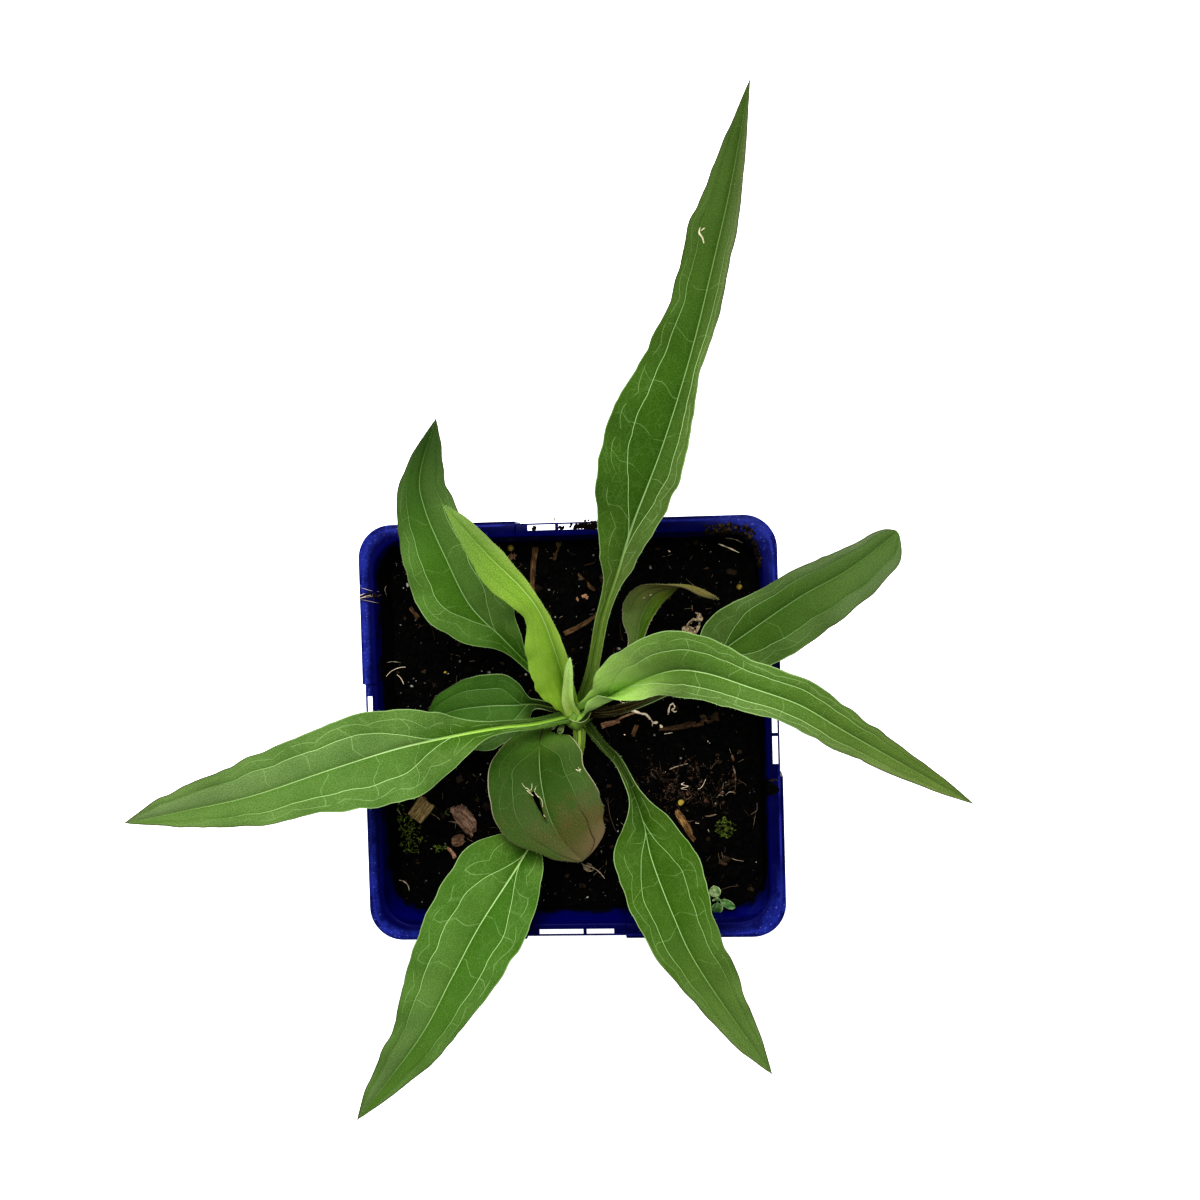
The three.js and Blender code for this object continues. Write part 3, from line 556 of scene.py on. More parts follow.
def turns_about(rng, count, tilt):
    """Random turns as (count, 3, 3) arrays: any way round Z after a tilt of up to that angle."""
    spin, lean = rng.uniform(0, 2 * math.pi, count), rng.uniform(-tilt, tilt, count)
    zero, one = np.zeros(count), np.ones(count)
    about_z = np.array([[np.cos(spin), -np.sin(spin), zero], [np.sin(spin), np.cos(spin), zero],
                        [zero, zero, one]])
    about_y = np.array([[np.cos(lean), zero, np.sin(lean)], [zero, one, zero],
                        [-np.sin(lean), zero, np.cos(lean)]])
    return np.einsum("ijn,jkn->nik", about_z, about_y)


def crumbs(rng, places, sizes, tilt=1.0):
    """Rough lumps, one for each place: a twenty-faced ball with its points pushed in and out
    at random, stretched to its three sizes and turned."""
    count = len(places)
    ball = ICO_POINTS * rng.uniform(0.7, 1.15, (count, 12, 1)) * sizes[:, None, :]
    ball = np.einsum("nij,npj->npi", turns_about(rng, count, tilt), ball) + places[:, None, :]
    faces = (np.arange(count)[:, None, None] * 12 + ICO_FACES).reshape(-1, 3)
    return ball.reshape(-1, 3), faces.tolist()


def scatter(rng, count, half, margin):
    """Places on the soil, evenly spread over its square."""
    x, y = rng.uniform(-half + margin, half - margin, (2, count))
    over = np.abs(x) + np.abs(y) > 2 * half - 4
    x[over] *= 0.9
    y[over] *= 0.9
    return x, y


draw = np.random.default_rng(7)
x, y = scatter(draw, CRUMB_COUNT, soil_half, 0.6)
width = 0.35 + draw.gamma(1.6, 0.34, CRUMB_COUNT).clip(0, 1.7)
sizes = np.column_stack([width, width * draw.uniform(0.5, 0.9, CRUMB_COUNT),
                         width * draw.uniform(0.35, 0.7, CRUMB_COUNT)])
shapes = crumbs(draw, on_soil(x, y, width * 0.15), sizes)
soil_crumbs = mesh_piece("soil_crumbs", *shapes, peat, smooth=False)
brown_near = np.exp(-((x - BROWN_X) / 12) ** 2 - ((y - BROWN_Y) / 8) ** 2)
toned = draw.random(CRUMB_COUNT) < 0.045 + 0.4 * brown_near * (width < 1)
tone = np.where(toned, draw.uniform(0.15, 0.8, CRUMB_COUNT), 0) ** 1.5
give_tone(soil_crumbs, np.repeat(tone, 12))
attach(soil_crumbs, "root")


def tubes(paths, radii, sides):
    """Many thin tubes at once. paths is (tubes, steps, 3) and radii (tubes, steps). Rings stand
    across each path, on two directions at right angles to it, and both ends are closed."""
    ahead = np.gradient(paths, axis=1)
    ahead /= np.linalg.norm(ahead, axis=-1, keepdims=True)
    helper = np.where(np.abs(ahead[..., 2:]) > 0.8, [1.0, 0, 0], [0, 0, 1.0])
    first = np.cross(helper, ahead)
    first /= np.linalg.norm(first, axis=-1, keepdims=True)
    second = np.cross(ahead, first)
    angle = 2 * math.pi * np.arange(sides) / sides
    ring = np.cos(angle)[:, None] * first[:, :, None] + np.sin(angle)[:, None] * second[:, :, None]
    points = paths[:, :, None] + ring * radii[:, :, None, None]
    count, steps = paths.shape[:2]
    k = np.arange(sides)
    start = (np.arange(count)[:, None] * steps + np.arange(steps - 1)).reshape(-1, 1) * sides
    after = start + sides
    quads = np.stack([start + k, start + (k + 1) % sides, after + (k + 1) % sides, after + k], -1)
    foot = np.arange(count)[:, None] * steps * sides
    ends = np.vstack([foot + k[::-1], foot + (steps - 1) * sides + k])
    return points.reshape(-1, 3), quads.reshape(-1, 4).tolist() + ends.tolist()


def fibres(rng, x, y, length, thickness, curl, lift, steps=8):
    """Fibres lying on the soil from (x, y): each goes its own way, bends at random by curl, and
    rises in the middle by lift."""
    count = len(x)
    share = np.linspace(0, 1, steps)
    heading = rng.uniform(0, 2 * math.pi, (count, 1)) + curl * rng.normal(size=(count, 1)) * share
    heading = heading + curl * 0.5 * np.cumsum(rng.normal(size=(count, steps)), axis=1) / 2
    step = length[:, None] / (steps - 1)
    run_x = x[:, None] + np.cumsum(np.cos(heading) * step, axis=1)
    run_y = y[:, None] + np.cumsum(np.sin(heading) * step, axis=1)
    run_x, run_y = (np.clip(run, 1 - soil_half, soil_half - 1) for run in (run_x, run_y))
    rise = lift[:, None] * np.sin(math.pi * share * rng.uniform(0.6, 1.4, (count, 1))) ** 2
    paths = on_soil(run_x, run_y, rise + thickness[:, None])
    paths[..., 2] = (paths[..., 2] + paths[..., 2].mean(axis=1, keepdims=True)) / 2 + 0.15
    taper = 0.45 + 0.55 * np.sin(math.pi * (0.08 + 0.84 * share)) ** 0.7
    return paths, thickness[:, None] * taper


x, y = scatter(draw, FIBRE_COUNT, soil_half, 3)
y -= 14 * (np.hypot((x - 28) / 16, (y + 3) / 8) < 1)
x[:BROWN_FIBRES] = BROWN_X + draw.normal(0, 6, BROWN_FIBRES).clip(-13, 13)
y[:BROWN_FIBRES] = BROWN_Y + draw.normal(0, 3, BROWN_FIBRES)
length = draw.gamma(2.2, 1.1, FIBRE_COUNT).clip(1, 10)
length[:BROWN_FIBRES] = draw.gamma(2.2, 0.7, BROWN_FIBRES).clip(0.8, 5)
thickness = draw.uniform(0.05, 0.15, FIBRE_COUNT) * (1 + 0.9 * (draw.random(FIBRE_COUNT) < 0.15))
thickness[:BROWN_FIBRES] *= 0.65
lift = draw.uniform(0, 0.6, FIBRE_COUNT)
paths, radii = fibres(draw, x, y, length, thickness, 0.5, lift)


def fibre_finish():
    """Dry plant fibres, from dark brown to straw."""
    finish, tree, shader = new_finish("dry_fibre", Roughness=0.8, Specular_IOR_Level=0.25)
    streaks = speckle(tree, 500, 3)
    colour = blend(kept_field(tree, "tone")[0], seen(34, 18, 12), seen(186, 166, 140))
    give(shader, Base_Color=blend(streaks * 0.6, colour, seen(60, 40, 24)))
    relief(shader, streaks, 0.2)
    return finish


dry_fibre = fibre_finish()
soil_fibres = mesh_piece("soil_fibres", *tubes(paths, radii, 4), dry_fibre)
tone = draw.beta(0.8, 2.4, FIBRE_COUNT)
tone[:BROWN_FIBRES] *= 0.5
give_tone(soil_fibres, np.repeat(tone, paths.shape[1] * 4))
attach(soil_fibres, "root")

# ---------------------------------------------------------------- Bark and sticks
# Loose bark and wood, half sunk in the soil: one pale split block with open grain, brown pitted
# chunks, sticks with frayed ends, and small flakes. Each is a rough lump along its grain. Those
# in LOOSE_WOOD stand for nodes of the CAD, and those in SMALL_WOOD are litter too small for one.
PALE_WOOD = (seen(96, 78, 48), seen(176, 156, 112))
BROWN_BARK = (seen(70, 50, 38), seen(138, 110, 88))
BEIGE_BARK = (seen(82, 60, 48), seen(168, 140, 120))
BROWN_STICK = (seen(50, 34, 22), seen(120, 94, 62))
DARK_STICK = (seen(30, 21, 15), seen(98, 74, 50))
STRAW_STICK = (seen(56, 38, 22), seen(172, 136, 88))
LIGHT_STICK = (seen(104, 74, 54), seen(186, 150, 122))
# name: place, turn, tilt, rise, length, width, height, square, blunt, rough, taper, bend, colours.
LOOSE_WOOD = {
    "bark_block": ((-38.8, -20.2), 51, 6, 1.0, 5.6, 4.4, 3, 1.33, 16, 0.05, 0.02, 0, PALE_WOOD),
    "bark_chunk_big": ((-28.3, -22.7), -52, -5, 0.7, 8, 4, 2.6, 1.08, 3.4, 0.2, -0.1, 0.5, BEIGE_BARK),
    "bark_chunk_small": ((-29.8, -27.8), 15, 4, 0.4, 3.3, 2.6, 2, 1.1, 3.2, 0.2, 0, 0, BROWN_BARK),
    "stick_upper": ((-9, 37.5), 85, 2, 0.7, 12.5, 1.3, 1.1, 1.2, 20, 0.12, 0.15, 0.3, BROWN_STICK),
    "twig_middle": ((2.3, 24.9), 29, 3, 0.8, 10, 1.1, 1, 1.1, 14, 0.15, -0.25, -0.4, BROWN_STICK),
    "stick_right": ((27.5, 0), 12, -3, 0.7, 15, 1.6, 1.2, 1.15, 10, 0.2, 0.45, -0.5, DARK_STICK),
    "stick_lower": ((26.2, -25.1), -60, 2, 0.8, 9.4, 1.8, 1.4, 1.15, 3, 0.12, -0.1, 0.05, STRAW_STICK),
}
SMALL_WOOD = {
    "stick_pale": ((8.6, 0.3), 12, 2, 0.9, 4.6, 1.1, 0.7, 1.25, 20, 0.16, -0.4, 0.1, LIGHT_STICK),
    "stick_end": ((12, 1.7), 22, 3, 0.8, 6, 0.5, 0.5, 1.2, 8, 0.16, -0.2, 0.2, LIGHT_STICK),
    "stick_short": ((-3.2, 43), 70, 3, 0.5, 5.6, 1.2, 0.9, 1.2, 8, 0.15, 0.2, 0.2, BROWN_STICK),
    "stick_left": ((-38.6, 27.4), -58, 3, 0.5, 5.5, 1.1, 0.9, 1.2, 8, 0.15, 0.2, 0.2, BROWN_STICK),
    "stick_corner": ((-43.4, -43.6), -62, 0, 0.6, 4.6, 0.9, 0.7, 1.15, 4, 0.15, 0, 0.1, BROWN_STICK),
    "flake_beige": ((-46, -26.6), -50, 8, 0.5, 2.6, 1.6, 0.5, 1.2, 6, 0.2, 0, 0.1, PALE_WOOD),
    "stick_dark": ((3.2, 35.5), -48, 3, 0.6, 7.4, 0.8, 0.7, 1.15, 6, 0.2, 0.2, -0.3, BROWN_STICK),
    "flake_grey": ((-4.5, 29), 15, 8, 0.6, 1.9, 1.3, 0.4, 1.1, 4, 0.2, 0, 0.1, BEIGE_BARK),
    "flake_upper": ((-14.5, 40.5), 70, 4, 0.4, 3.6, 2.6, 0.6, 1.1, 4, 0.22, 0, 0.2, BROWN_BARK),
    "flake_middle": ((2.6, 31), 20, 6, 0.5, 2.8, 1.5, 0.5, 1.1, 5, 0.2, 0, 0.1, LIGHT_STICK),
    "flake_leaf": ((14.5, -1.5), 68, 8, 0.6, 3, 1.1, 0.3, 1.2, 12, 0.12, 0, 0.1, BROWN_STICK),
    "curl_brown": ((-31.9, -30.9), -55, 8, 0.6, 3.6, 0.9, 0.6, 1.1, 4, 0.3, 0.2, 0.4, LIGHT_STICK),
}
GRAIN_SPLITS = (-1.05, -0.25, 0.62, 1.3)


def lump(length, width, height, square, blunt, rough, taper, bend, seed, rows=44, sides=64):
    """Rings of a rough body along X. A ring is an ellipse whose cosine and sine are multiplied by
    square and held between -1 and 1, which squares it. It shrinks toward both ends by 1 less
    the share to the power blunt, thickens to one end by taper, and bends in a parabola. Noise
    of two sizes moves it in and out, and runs on along the grain."""
    share = np.sin(np.linspace(-1, 1, rows) * math.pi / 2)[:, None]
    angle = np.linspace(0, 2 * math.pi, sides + 1)[None, :-1]
    size = np.clip(1 - np.abs(share) ** blunt, 0.001, 1) ** (1 / blunt) * (1 + taper * share)
    y = width / 2 * size * np.clip(square * np.cos(angle), -1, 1)
    z = height / 2 * size * np.clip(square * np.sin(angle), -1, 1)
    x = length / 2 * share + 0 * angle
    coarse = lattice_noise(y + 0.3 * x, z - 0.35 * x, width / 2, seed)
    fine = lattice_noise(y - 0.25 * x, z + 0.2 * x, width / 7, seed + 1)
    swell = 1 + rough * (coarse + 0.7 * fine)
    ragged = rough * width * lattice_noise(y, z, width / 6, seed + 2) * np.abs(share) ** 6
    return np.stack([x + ragged, y * swell + bend * (1 - share**2), z * swell], axis=-1)


def tipped(points, turn, tilt):
    """Points tipped about Y and then turned about Z, in degrees."""
    spin = Matrix.Rotation(math.radians(turn), 3, "Z") @ Matrix.Rotation(math.radians(tilt), 3, "Y")
    return points @ np.array(spin).T


def laid(points, x, y, turn, tilt, rise):
    """Lays points on the soil at (x, y), tipped and turned."""
    return tipped(points, turn, tilt) + (x, y, soil_height(x, y) + rise)


def keep_three(piece, name, values):
    """Keeps three numbers for each point under a name."""
    kept = piece.data.attributes.new(name, "FLOAT_VECTOR", "POINT")
    kept.data.foreach_set("vector", values.reshape(-1).astype(np.float32))


def wood_finish(name, dark, pale):
    """Dry wood or bark: streaks along the grain, and darker blotches."""
    finish, tree, shader = new_finish(name, Roughness=0.85, Specular_IOR_Level=0.2)
    along, across, up = apart(kept_field(tree, "grain")[1])
    streaks = speckle(tree, 2.6, 5, 0.7, together(along * 0.16, across, up)).ramp(0.34, 0.66)
    blotch = speckle(tree, 260, 4, 0.6).ramp(0.4, 0.7)
    give(shader, Base_Color=blend(blotch * 0.55, blend(streaks, dark, pale), dark))
    relief(shader, streaks, 0.35)
    return finish


wood_finishes = {}
for seed, (name, wood) in enumerate({**LOOSE_WOOD, **SMALL_WOOD}.items()):
    (x, y), turn, tilt, rise, *shape, colours = wood
    rings = lump(*shape, 30 + 3 * seed)
    if name == "bark_block":
        across = rings[..., 1] + 0.12 * np.sin(1.3 * rings[..., 0])
        split = sum(np.exp(-(((across - at) / 0.13) ** 2)) for at in GRAIN_SPLITS)
        rings[..., 2] -= 0.5 * split * (rings[..., 2] > 0)
    if name.startswith("bark_chunk"):
        pits = lattice_noise(rings[..., 0] * 1.3, rings[..., 1] * 1.3, 1, 5)
        rings[..., 2] -= 1.3 * np.clip(pits - 0.2, 0, 1) * (rings[..., 2] > 0)
    if colours not in wood_finishes:
        wood_finishes[colours] = wood_finish(f"wood_{len(wood_finishes) + 1}", *colours)
    points, faces = skin(rings)
    points_laid = laid(points, x, y, turn, tilt, rise)
    piece = mesh_piece(f"{name}_rough", points_laid, faces, wood_finishes[colours])
    keep_three(piece, "grain", points)
    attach(piece, "root")
    if name in LOOSE_WOOD:
        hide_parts(name)

# ---------------------------------------------------------------- Roots and small litter
# What else lies on the soil: pale root threads, round fertiliser beads, tufts of moss, mineral
# specks, bark dust and crumpled scraps of dry leaf, and what is caught on the rim and the inner
# wall: fibres, dirt, and in one corner a band of crumbs.
# Beads as (x, y, radius, tone).
BEADS = ((-14.6, 43.6, 0.85, 0.35), (-31.8, 13.7, 0.5, 0.45), (40.7, 32.7, 0.8, 0.0),
         (25.2, -19.4, 0.82, 0.65), (-39.6, -27.8, 0.42, 0.4))
# Root threads and stray fibres as (half thickness, tone, [points as x, y, height above the soil]).
THREADS = {
    "root_branched": (0.42, 1.0, [(10.6, 6.2, 0.4), (12.6, 4.6, 0.6), (13.9, 3.4, 0.9),
                                  (16, 2.6, 0.8), (17.4, 2.2, 1.0), (18.9, 0.4, 1.0), (20, 0.2, 0.9),
                                  (20.9, -0.9, 0.9), (21, -2.6, 0.7), (20.3, -3.8, 0.4)]),
    "root_side": (0.2, 0.9, [(18.9, 0.5, 0.9), (18.7, -0.6, 0.7), (19.4, -1.2, 0.5)]),
    "root_end": (0.14, 0.7, [(20.9, -2.7, 0.7), (22.4, -2.5, 0.6), (23.7, -2.3, 0.4)]),
    "root_loop": (0.27, 0.95, [(22.3, 1.4, 0.6), (22.7, 2.4, 1.2), (22.9, 3.5, 1.5),
                               (23.3, 4.5, 1.7), (23.9, 4.8, 1.7), (24.3, 3.9, 1.5),
                               (23.7, 3.3, 1.3), (24.2, 2.8, 1.2), (24.8, 3, 1)]),
    "needle_left": (0.16, 0.85, [(-46, -17.4, 0.9), (-44.8, -19.8, 0.7), (-43.9, -21.6, 0.5)]),
    "needle_corner": (0.13, 1.0, [(-47, -43.2, 6.5), (-45.9, -44.3, 4.6), (-45, -45.2, 3)]),
    "curl_dry": (0.3, 0.35, [(-44.9, -37.4, 0.4), (-43.4, -37.8, 0.8), (-42.5, -39, 0.9),
                             (-42.6, -40.6, 0.7), (-43.4, -41.8, 0.4)]),
    "straw_front": (0.22, 0.6, [(0.2, -33.6, 0.4), (1.8, -34.4, 0.9), (3.6, -35.2, 1),
                                (4.8, -36.4, 0.8), (6, -38, 0.4)]),
    "bit_light": (0.26, 0.95, [(10.9, -1.9, 0.5), (12.2, -2.6, 0.6)]),
    "bit_white": (0.3, 1.0, [(23.7, 42, 0.5), (24.3, 41.6, 0.6)]),
    "squiggle": (0.13, 0.9, [(25.2, -13.7, 0.7), (26.8, -14, 0.9), (25.4, -14.8, 1),
                             (27, -15.3, 0.9), (25.3, -15.9, 0.8), (26.8, -16.2, 0.6)]),
    "bracket": (0.15, 0.7, [(31.4, -13.6, 0.9), (30.7, -15, 0.9), (29.9, -15.9, 0.8), (29, -16, 0.6)]),
    "root_pink": (0.2, 0.4, [(21.1, -12.1, 0.6), (22.6, -11.1, 0.9), (24.2, -10.5, 0.8), (27.2, -9.8, 0.6)]),
    "hair_grey": (0.1, 0.5, [(36.5, -4.9, 0.8), (37.1, -5.9, 0.9), (37.6, -7.6, 0.7)]),
    "streak_brown": (0.3, 0.12, [(38, -10.5, 0.9), (38.5, -13, 0.9), (38.4, -16.6, 0.6)]),
    "curl_pale": (0.12, 0.45, [(33.7, -18.5, 0.6), (34.6, -17.6, 0.9), (35.7, -17.9, 0.9),
                               (37, -17, 0.8), (38.6, -17.3, 0.5)]),
    "curl_moss": (0.22, 0.6, [(28.4, -24.4, 0.6), (29.6, -24.6, 0.9), (31, -25.2, 0.9), (31.9, -26.7, 0.6)]),
    "bit_grey": (0.14, 0.5, [(39.6, -26.6, 0.6), (41.7, -28.5, 0.6)]),
    "hair_red": (0.1, 0.2, [(43.3, -21.5, 0.9), (42.9, -23.7, 0.9), (42.4, -26.1, 0.7)]),
}
# What hangs on the rim and the wall, with its real heights.
EDGE_THREADS = {
    "rim_fibre_1": (0.09, 0.5, [(-49.7, 35.2, 90.1), (-48.3, 34.8, 90.3),
                                (-47, 34.4, 90.2), (-45.6, 34, 87.4)]),
    "rim_fibre_2": (0.11, 0.85, [(-50.9, 33.6, 89.9), (-49.9, 33.3, 90.4), (-48.6, 33.8, 90.4)]),
    "rim_fibre_3": (0.12, 0.65, [(-51.1, 32.4, 89.9), (-49.7, 32.6, 90.5),
                                 (-48.4, 33.1, 90.4), (-46.6, 33.4, 90.1)]),
    "rim_fibre_4": (0.1, 0.4, [(-49.5, 32.3, 90.3), (-48, 32, 90.3),
                               (-46.4, 31.6, 90), (-45.6, 31.3, 88.2)]),
    "rim_fibre_5": (0.12, 0.3, [(-50.6, 32.9, 90.3), (-48.9, 32.8, 90.4),
                                (-46.2, 33.1, 89.6), (-45.4, 33.2, 85.4)]),
    "rim_fibre_6": (0.08, 0.45, [(-44.6, 35.4, 83.6), (-45, 34.4, 84), (-44.9, 32.6, 82)]),
    "wall_fibre_1": (0.14, 0.8, [(-41.3, 15.2, 79.8), (-42.8, 15.1, 80.4),
                                 (-44.6, 14.3, 82), (-46, 12.4, 85)]),
    "wall_fibre_2": (0.1, 0.55, [(-45.4, 16.6, 83), (-44, 16.7, 81.6), (-42.3, 16.3, 80)]),
    "wall_fibre_3": (0.16, 0.8, [(-43.6, 13.4, 79.6), (-42.8, 12.7, 79.8),
                                 (-42.3, 11.8, 79.6), (-42, 10.9, 79.3)]),
    "corner_straw_1": (0.22, 0.9, [(35.8, 43.3, 80), (38.4, 42.2, 80.6), (41, 40.9, 80)]),
    "corner_straw_2": (0.14, 0.5, [(37.6, 44.6, 82), (40, 44.2, 83), (42, 43.2, 83.4)]),
    "slot_nib": (0.3, 0.2, [(-2.5, 49.8, 89), (-2.5, 50.6, 89.4)]),
}
# Dirt on the rim as (x, y, height, reach in x, reach in y, count, size, tone).
RIM_DIRT = ((5.8, 48.35, 89.5, 3.4, 0.5, 90, 0.6, 0.05), (6.6, 49.3, 89.8, 2.6, 0.5, 24, 0.4, 0.1),
            (-7.3, 48.3, 89.5, 0.6, 0.5, 7, 0.5, 0.05), (-1, 48.2, 89.5, 0.9, 0.5, 8, 0.42, 0.05),
            (1.6, 48.6, 89.6, 0.7, 0.4, 6, 0.4, 0.05), (47, -14.4, 90.1, 0.8, 1.1, 30, 0.4, 0.02),
            (47.6, -12.6, 90.2, 1.1, 0.4, 12, 0.3, 0.6),
            (-47.3, 33.1, 90.1, 1.9, 0.8, 40, 0.34, 0.2))
# The band of crumbs that sticks to the inner wall round the far right corner: its lowest height,
# how far it reaches over the rim, how much of its own height it sinks toward the right, and where
# its two ends are in x and in y. It starts on the far wall, and turns the corner from BAND_TURN on.
BAND_COUNT = 1300
BAND_FOOT = 86
BAND_OVER = 1.6
BAND_CLIMB = 1.4
BAND_SINK = 0.5
BAND_ENDS = (33, 37.8)
BAND_TURN = (0.3, 0.75)
# Moss as (x, y, radius, count of its little leaves).
MOSS_TUFTS = ((-42.6, -23.4, 3.4, 80), (-41.8, -27.6, 3.4, 100), (-44, -19.4, 1.4, 20),
              (35.6, -25.6, 2.2, 150), (-32, -20.6, 1, 10), (-34.2, -29.4, 1.3, 26))
MOSS_GREENS = (seen(20, 26, 6), seen(112, 130, 52))
SPECK_COUNT = 900
SPECK_REACH = 43
DUST_COUNT = 520
# Scraps of dry leaf as (x, y, turn, tilt, rise, length, width).
LEAF_SCRAPS = {4: (29.4, 23.6, 62, -22, 1.0, 5.2, 3.2), 9: (28, 22.4, 150, -30, 0.9, 3.6, 2.6),
               2: (30.6, 25.6, -30, -35, 1.4, 3, 2.2), 5: (-46.6, -30.4, -40, -8, 0.5, 2.6, 1.2),
               7: (2.2, -34.8, -28, -20, 1.0, 3.6, 2.1)}


def tone_finish(name, dark, pale, roughness=0.7):
    """A dull finish whose colour runs from dark to pale with the tone kept in the mesh."""
    finish, tree, shader = new_finish(name, Roughness=roughness, Specular_IOR_Level=0.25)
    mottle = speckle(tree, 900, 3).ramp(0.3, 0.75).scaled(0.5, -0.25)
    give(shader, Base_Color=blend(kept_field(tree, "tone")[0] + mottle, dark, pale))
    relief(shader, speckle(tree, 1600, 2), 0.15)
    return finish


def through(knots, u):
    """A smooth curve through the knots (Catmull-Rom), at u from 0 to the last knot's number."""
    knots = np.asarray(knots, float)
    padded = np.vstack([2 * knots[0] - knots[1], knots, 2 * knots[-1] - knots[-2]])
    first = np.clip(u.astype(int), 0, len(knots) - 2)
    t = (u - first)[:, None]
    a, b, c, d = (padded[first + k] for k in range(4))
    return 0.5 * (2 * b + (c - a) * t + (2 * a - 5 * b + 4 * c - d) * t**2
                  + (3 * b - a - 3 * c + d) * t**3)


thread_shapes, thread_tones = [], []
for name, (half, thread_tone, knots) in {**THREADS, **EDGE_THREADS}.items():
    knots = np.array(knots, float)
    u = np.linspace(0, len(knots) - 1, 12 * len(knots))
    path = through(knots, u)
    if name in THREADS:
        path[:, 2] += soil_height(path[:, 0], path[:, 1])
    knobbly = 0.8 + 0.35 * lattice_noise(u * 2.3, 0 * u, 1, len(knots)) + 0 * u
    radii = half * knobbly * np.sqrt(np.clip(1 - np.abs(2 * u / u[-1] - 1) ** 6, 0.03, 1))
    thread_shapes.append(tubes(path[None], radii[None], 7))
    thread_tones.append(np.full(len(u) * 7, thread_tone))
roots = mesh_piece("roots_and_fibres", *joined(thread_shapes),
                   tone_finish("root_pale", seen(62, 46, 30), seen(226, 208, 184)))
give_tone(roots, np.concatenate(thread_tones))

bead_shapes = []
for x, y, radius, _ in BEADS:
    ball = lump(2 * radius, 2 * radius, 2 * radius, 1, 2, 0.03, 0, 0, 3, 14, 18)
    bead_shapes.append(skin(laid(ball, x, y, 0, 0, radius * 0.9)))
bead_finish = tone_finish("bead_yellow", seen(92, 78, 20), seen(206, 182, 90))
beads = mesh_piece("fertiliser_beads", *joined(bead_shapes), bead_finish)
give_tone(beads, np.repeat([bead[3] for bead in BEADS], len(beads.data.vertices) // len(BEADS)))

moss_shapes, moss_tones = [], []
for x, y, reach, count in MOSS_TUFTS:
    out = reach * draw.random(count) ** 0.6 * draw.uniform(0.8, 1.3, count)
    way = draw.uniform(0, 2 * math.pi, count)
    leaf_x, leaf_y = x + out * np.cos(way), y + out * np.sin(way)
    leaf_size = draw.uniform(0.3, 0.8, count)
    sizes = np.column_stack([leaf_size, leaf_size * 0.32, leaf_size * 0.24])
    cushion = 0.4 + np.maximum(1.1 * (1 - (out / reach) ** 2), 0) + draw.uniform(0, 0.6, count)
    moss_shapes.append(crumbs(draw, on_soil(leaf_x, leaf_y, cushion), sizes, 0.8))
    moss_tones.append(np.repeat(draw.beta(1.5, 2, count), 12))
moss = mesh_piece("moss_tufts", *joined(moss_shapes), tone_finish("moss_green", *MOSS_GREENS))
give_tone(moss, np.concatenate(moss_tones))

x = soil_half * (2 * draw.random(SPECK_COUNT) ** 1.25 - 1)
y = soil_half * (1 - 2 * draw.random(SPECK_COUNT) ** 1.2)
x, y = x.clip(-SPECK_REACH, SPECK_REACH), y.clip(-SPECK_REACH, SPECK_REACH)
width = draw.gamma(2.2, 0.075, SPECK_COUNT).clip(0.07, 0.45)
sizes = np.column_stack([width * draw.uniform(1, 2, SPECK_COUNT), width, width * 0.7])
specks = mesh_piece("soil_specks", *crumbs(draw, on_soil(x, y, 0.35), sizes),
                    tone_finish("grey_mineral", seen(56, 52, 48), seen(204, 200, 190)))
give_tone(specks, np.repeat(draw.beta(0.8, 3.4, SPECK_COUNT), 12))

x = BROWN_X + draw.normal(0, 5.5, DUST_COUNT).clip(-12, 13)
y = BROWN_Y + draw.normal(0.5, 3, DUST_COUNT)
width = draw.gamma(1.6, 0.09, DUST_COUNT).clip(0.07, 0.5)
sizes = np.column_stack([width * draw.uniform(1.2, 3, DUST_COUNT), width, width * 0.5])
dust = mesh_piece("bark_dust", *crumbs(draw, on_soil(x, y, 0.5), sizes, 0.5),
                  tone_finish("red_bark", seen(22, 12, 8), seen(122, 92, 70)))
give_tone(dust, np.repeat(draw.beta(0.7, 2.6, DUST_COUNT), 12))

dirt_places, dirt_tones = [], []
for x, y, height, reach_x, reach_y, count, size, dirt_tone in RIM_DIRT:
    away = draw.normal(0, 0.5, (count, 2)).clip(-1, 1) * (reach_x, reach_y)
    dirt_places.append(np.column_stack([away + (x, y), height + draw.uniform(-0.3, 0.2, count),
                                        size * draw.uniform(0.5, 1.2, count)]))
    dirt_tones.append(np.full(count, dirt_tone))
climb = draw.uniform(0, BAND_CLIMB, BAND_COUNT)
way = draw.uniform(0, 1, BAND_COUNT)
climb = climb - BAND_SINK * eased((way - 0.35) / 0.45)
height = BAND_FOOT + (POT_HEIGHT - BAND_FOOT) * np.minimum(climb, 1)
half = wall_half(height) - WALL + BAND_OVER * np.maximum(climb - 1, 0) / 0.4
round_corner = CORNER_RADIUS - 1
bend = half - round_corner
turn_from, turn_to = BAND_TURN
angle = math.pi / 2 * np.clip((way - turn_from) / (turn_to - turn_from), 0, 1)
before, after = np.clip(1 - way / turn_from, 0, 1), np.clip((way - turn_to) / (1 - turn_to), 0, 1)
x = bend + round_corner * np.sin(angle) - (bend - BAND_ENDS[0]) * before
y = bend + round_corner * np.cos(angle) - (bend - BAND_ENDS[1]) * after
dirt_places.append(np.column_stack([x, y, height, draw.gamma(1.8, 0.15, BAND_COUNT).clip(0.1, 0.7)]))
dirt_tones.append(0.8 * draw.beta(0.9, 1.6, BAND_COUNT))
dirt = np.vstack(dirt_places)
shapes = crumbs(draw, dirt[:, :3], dirt[:, 3:] * (1, 0.8, 0.6))
rim_dirt = mesh_piece("rim_dirt", *shapes, peat, smooth=False)
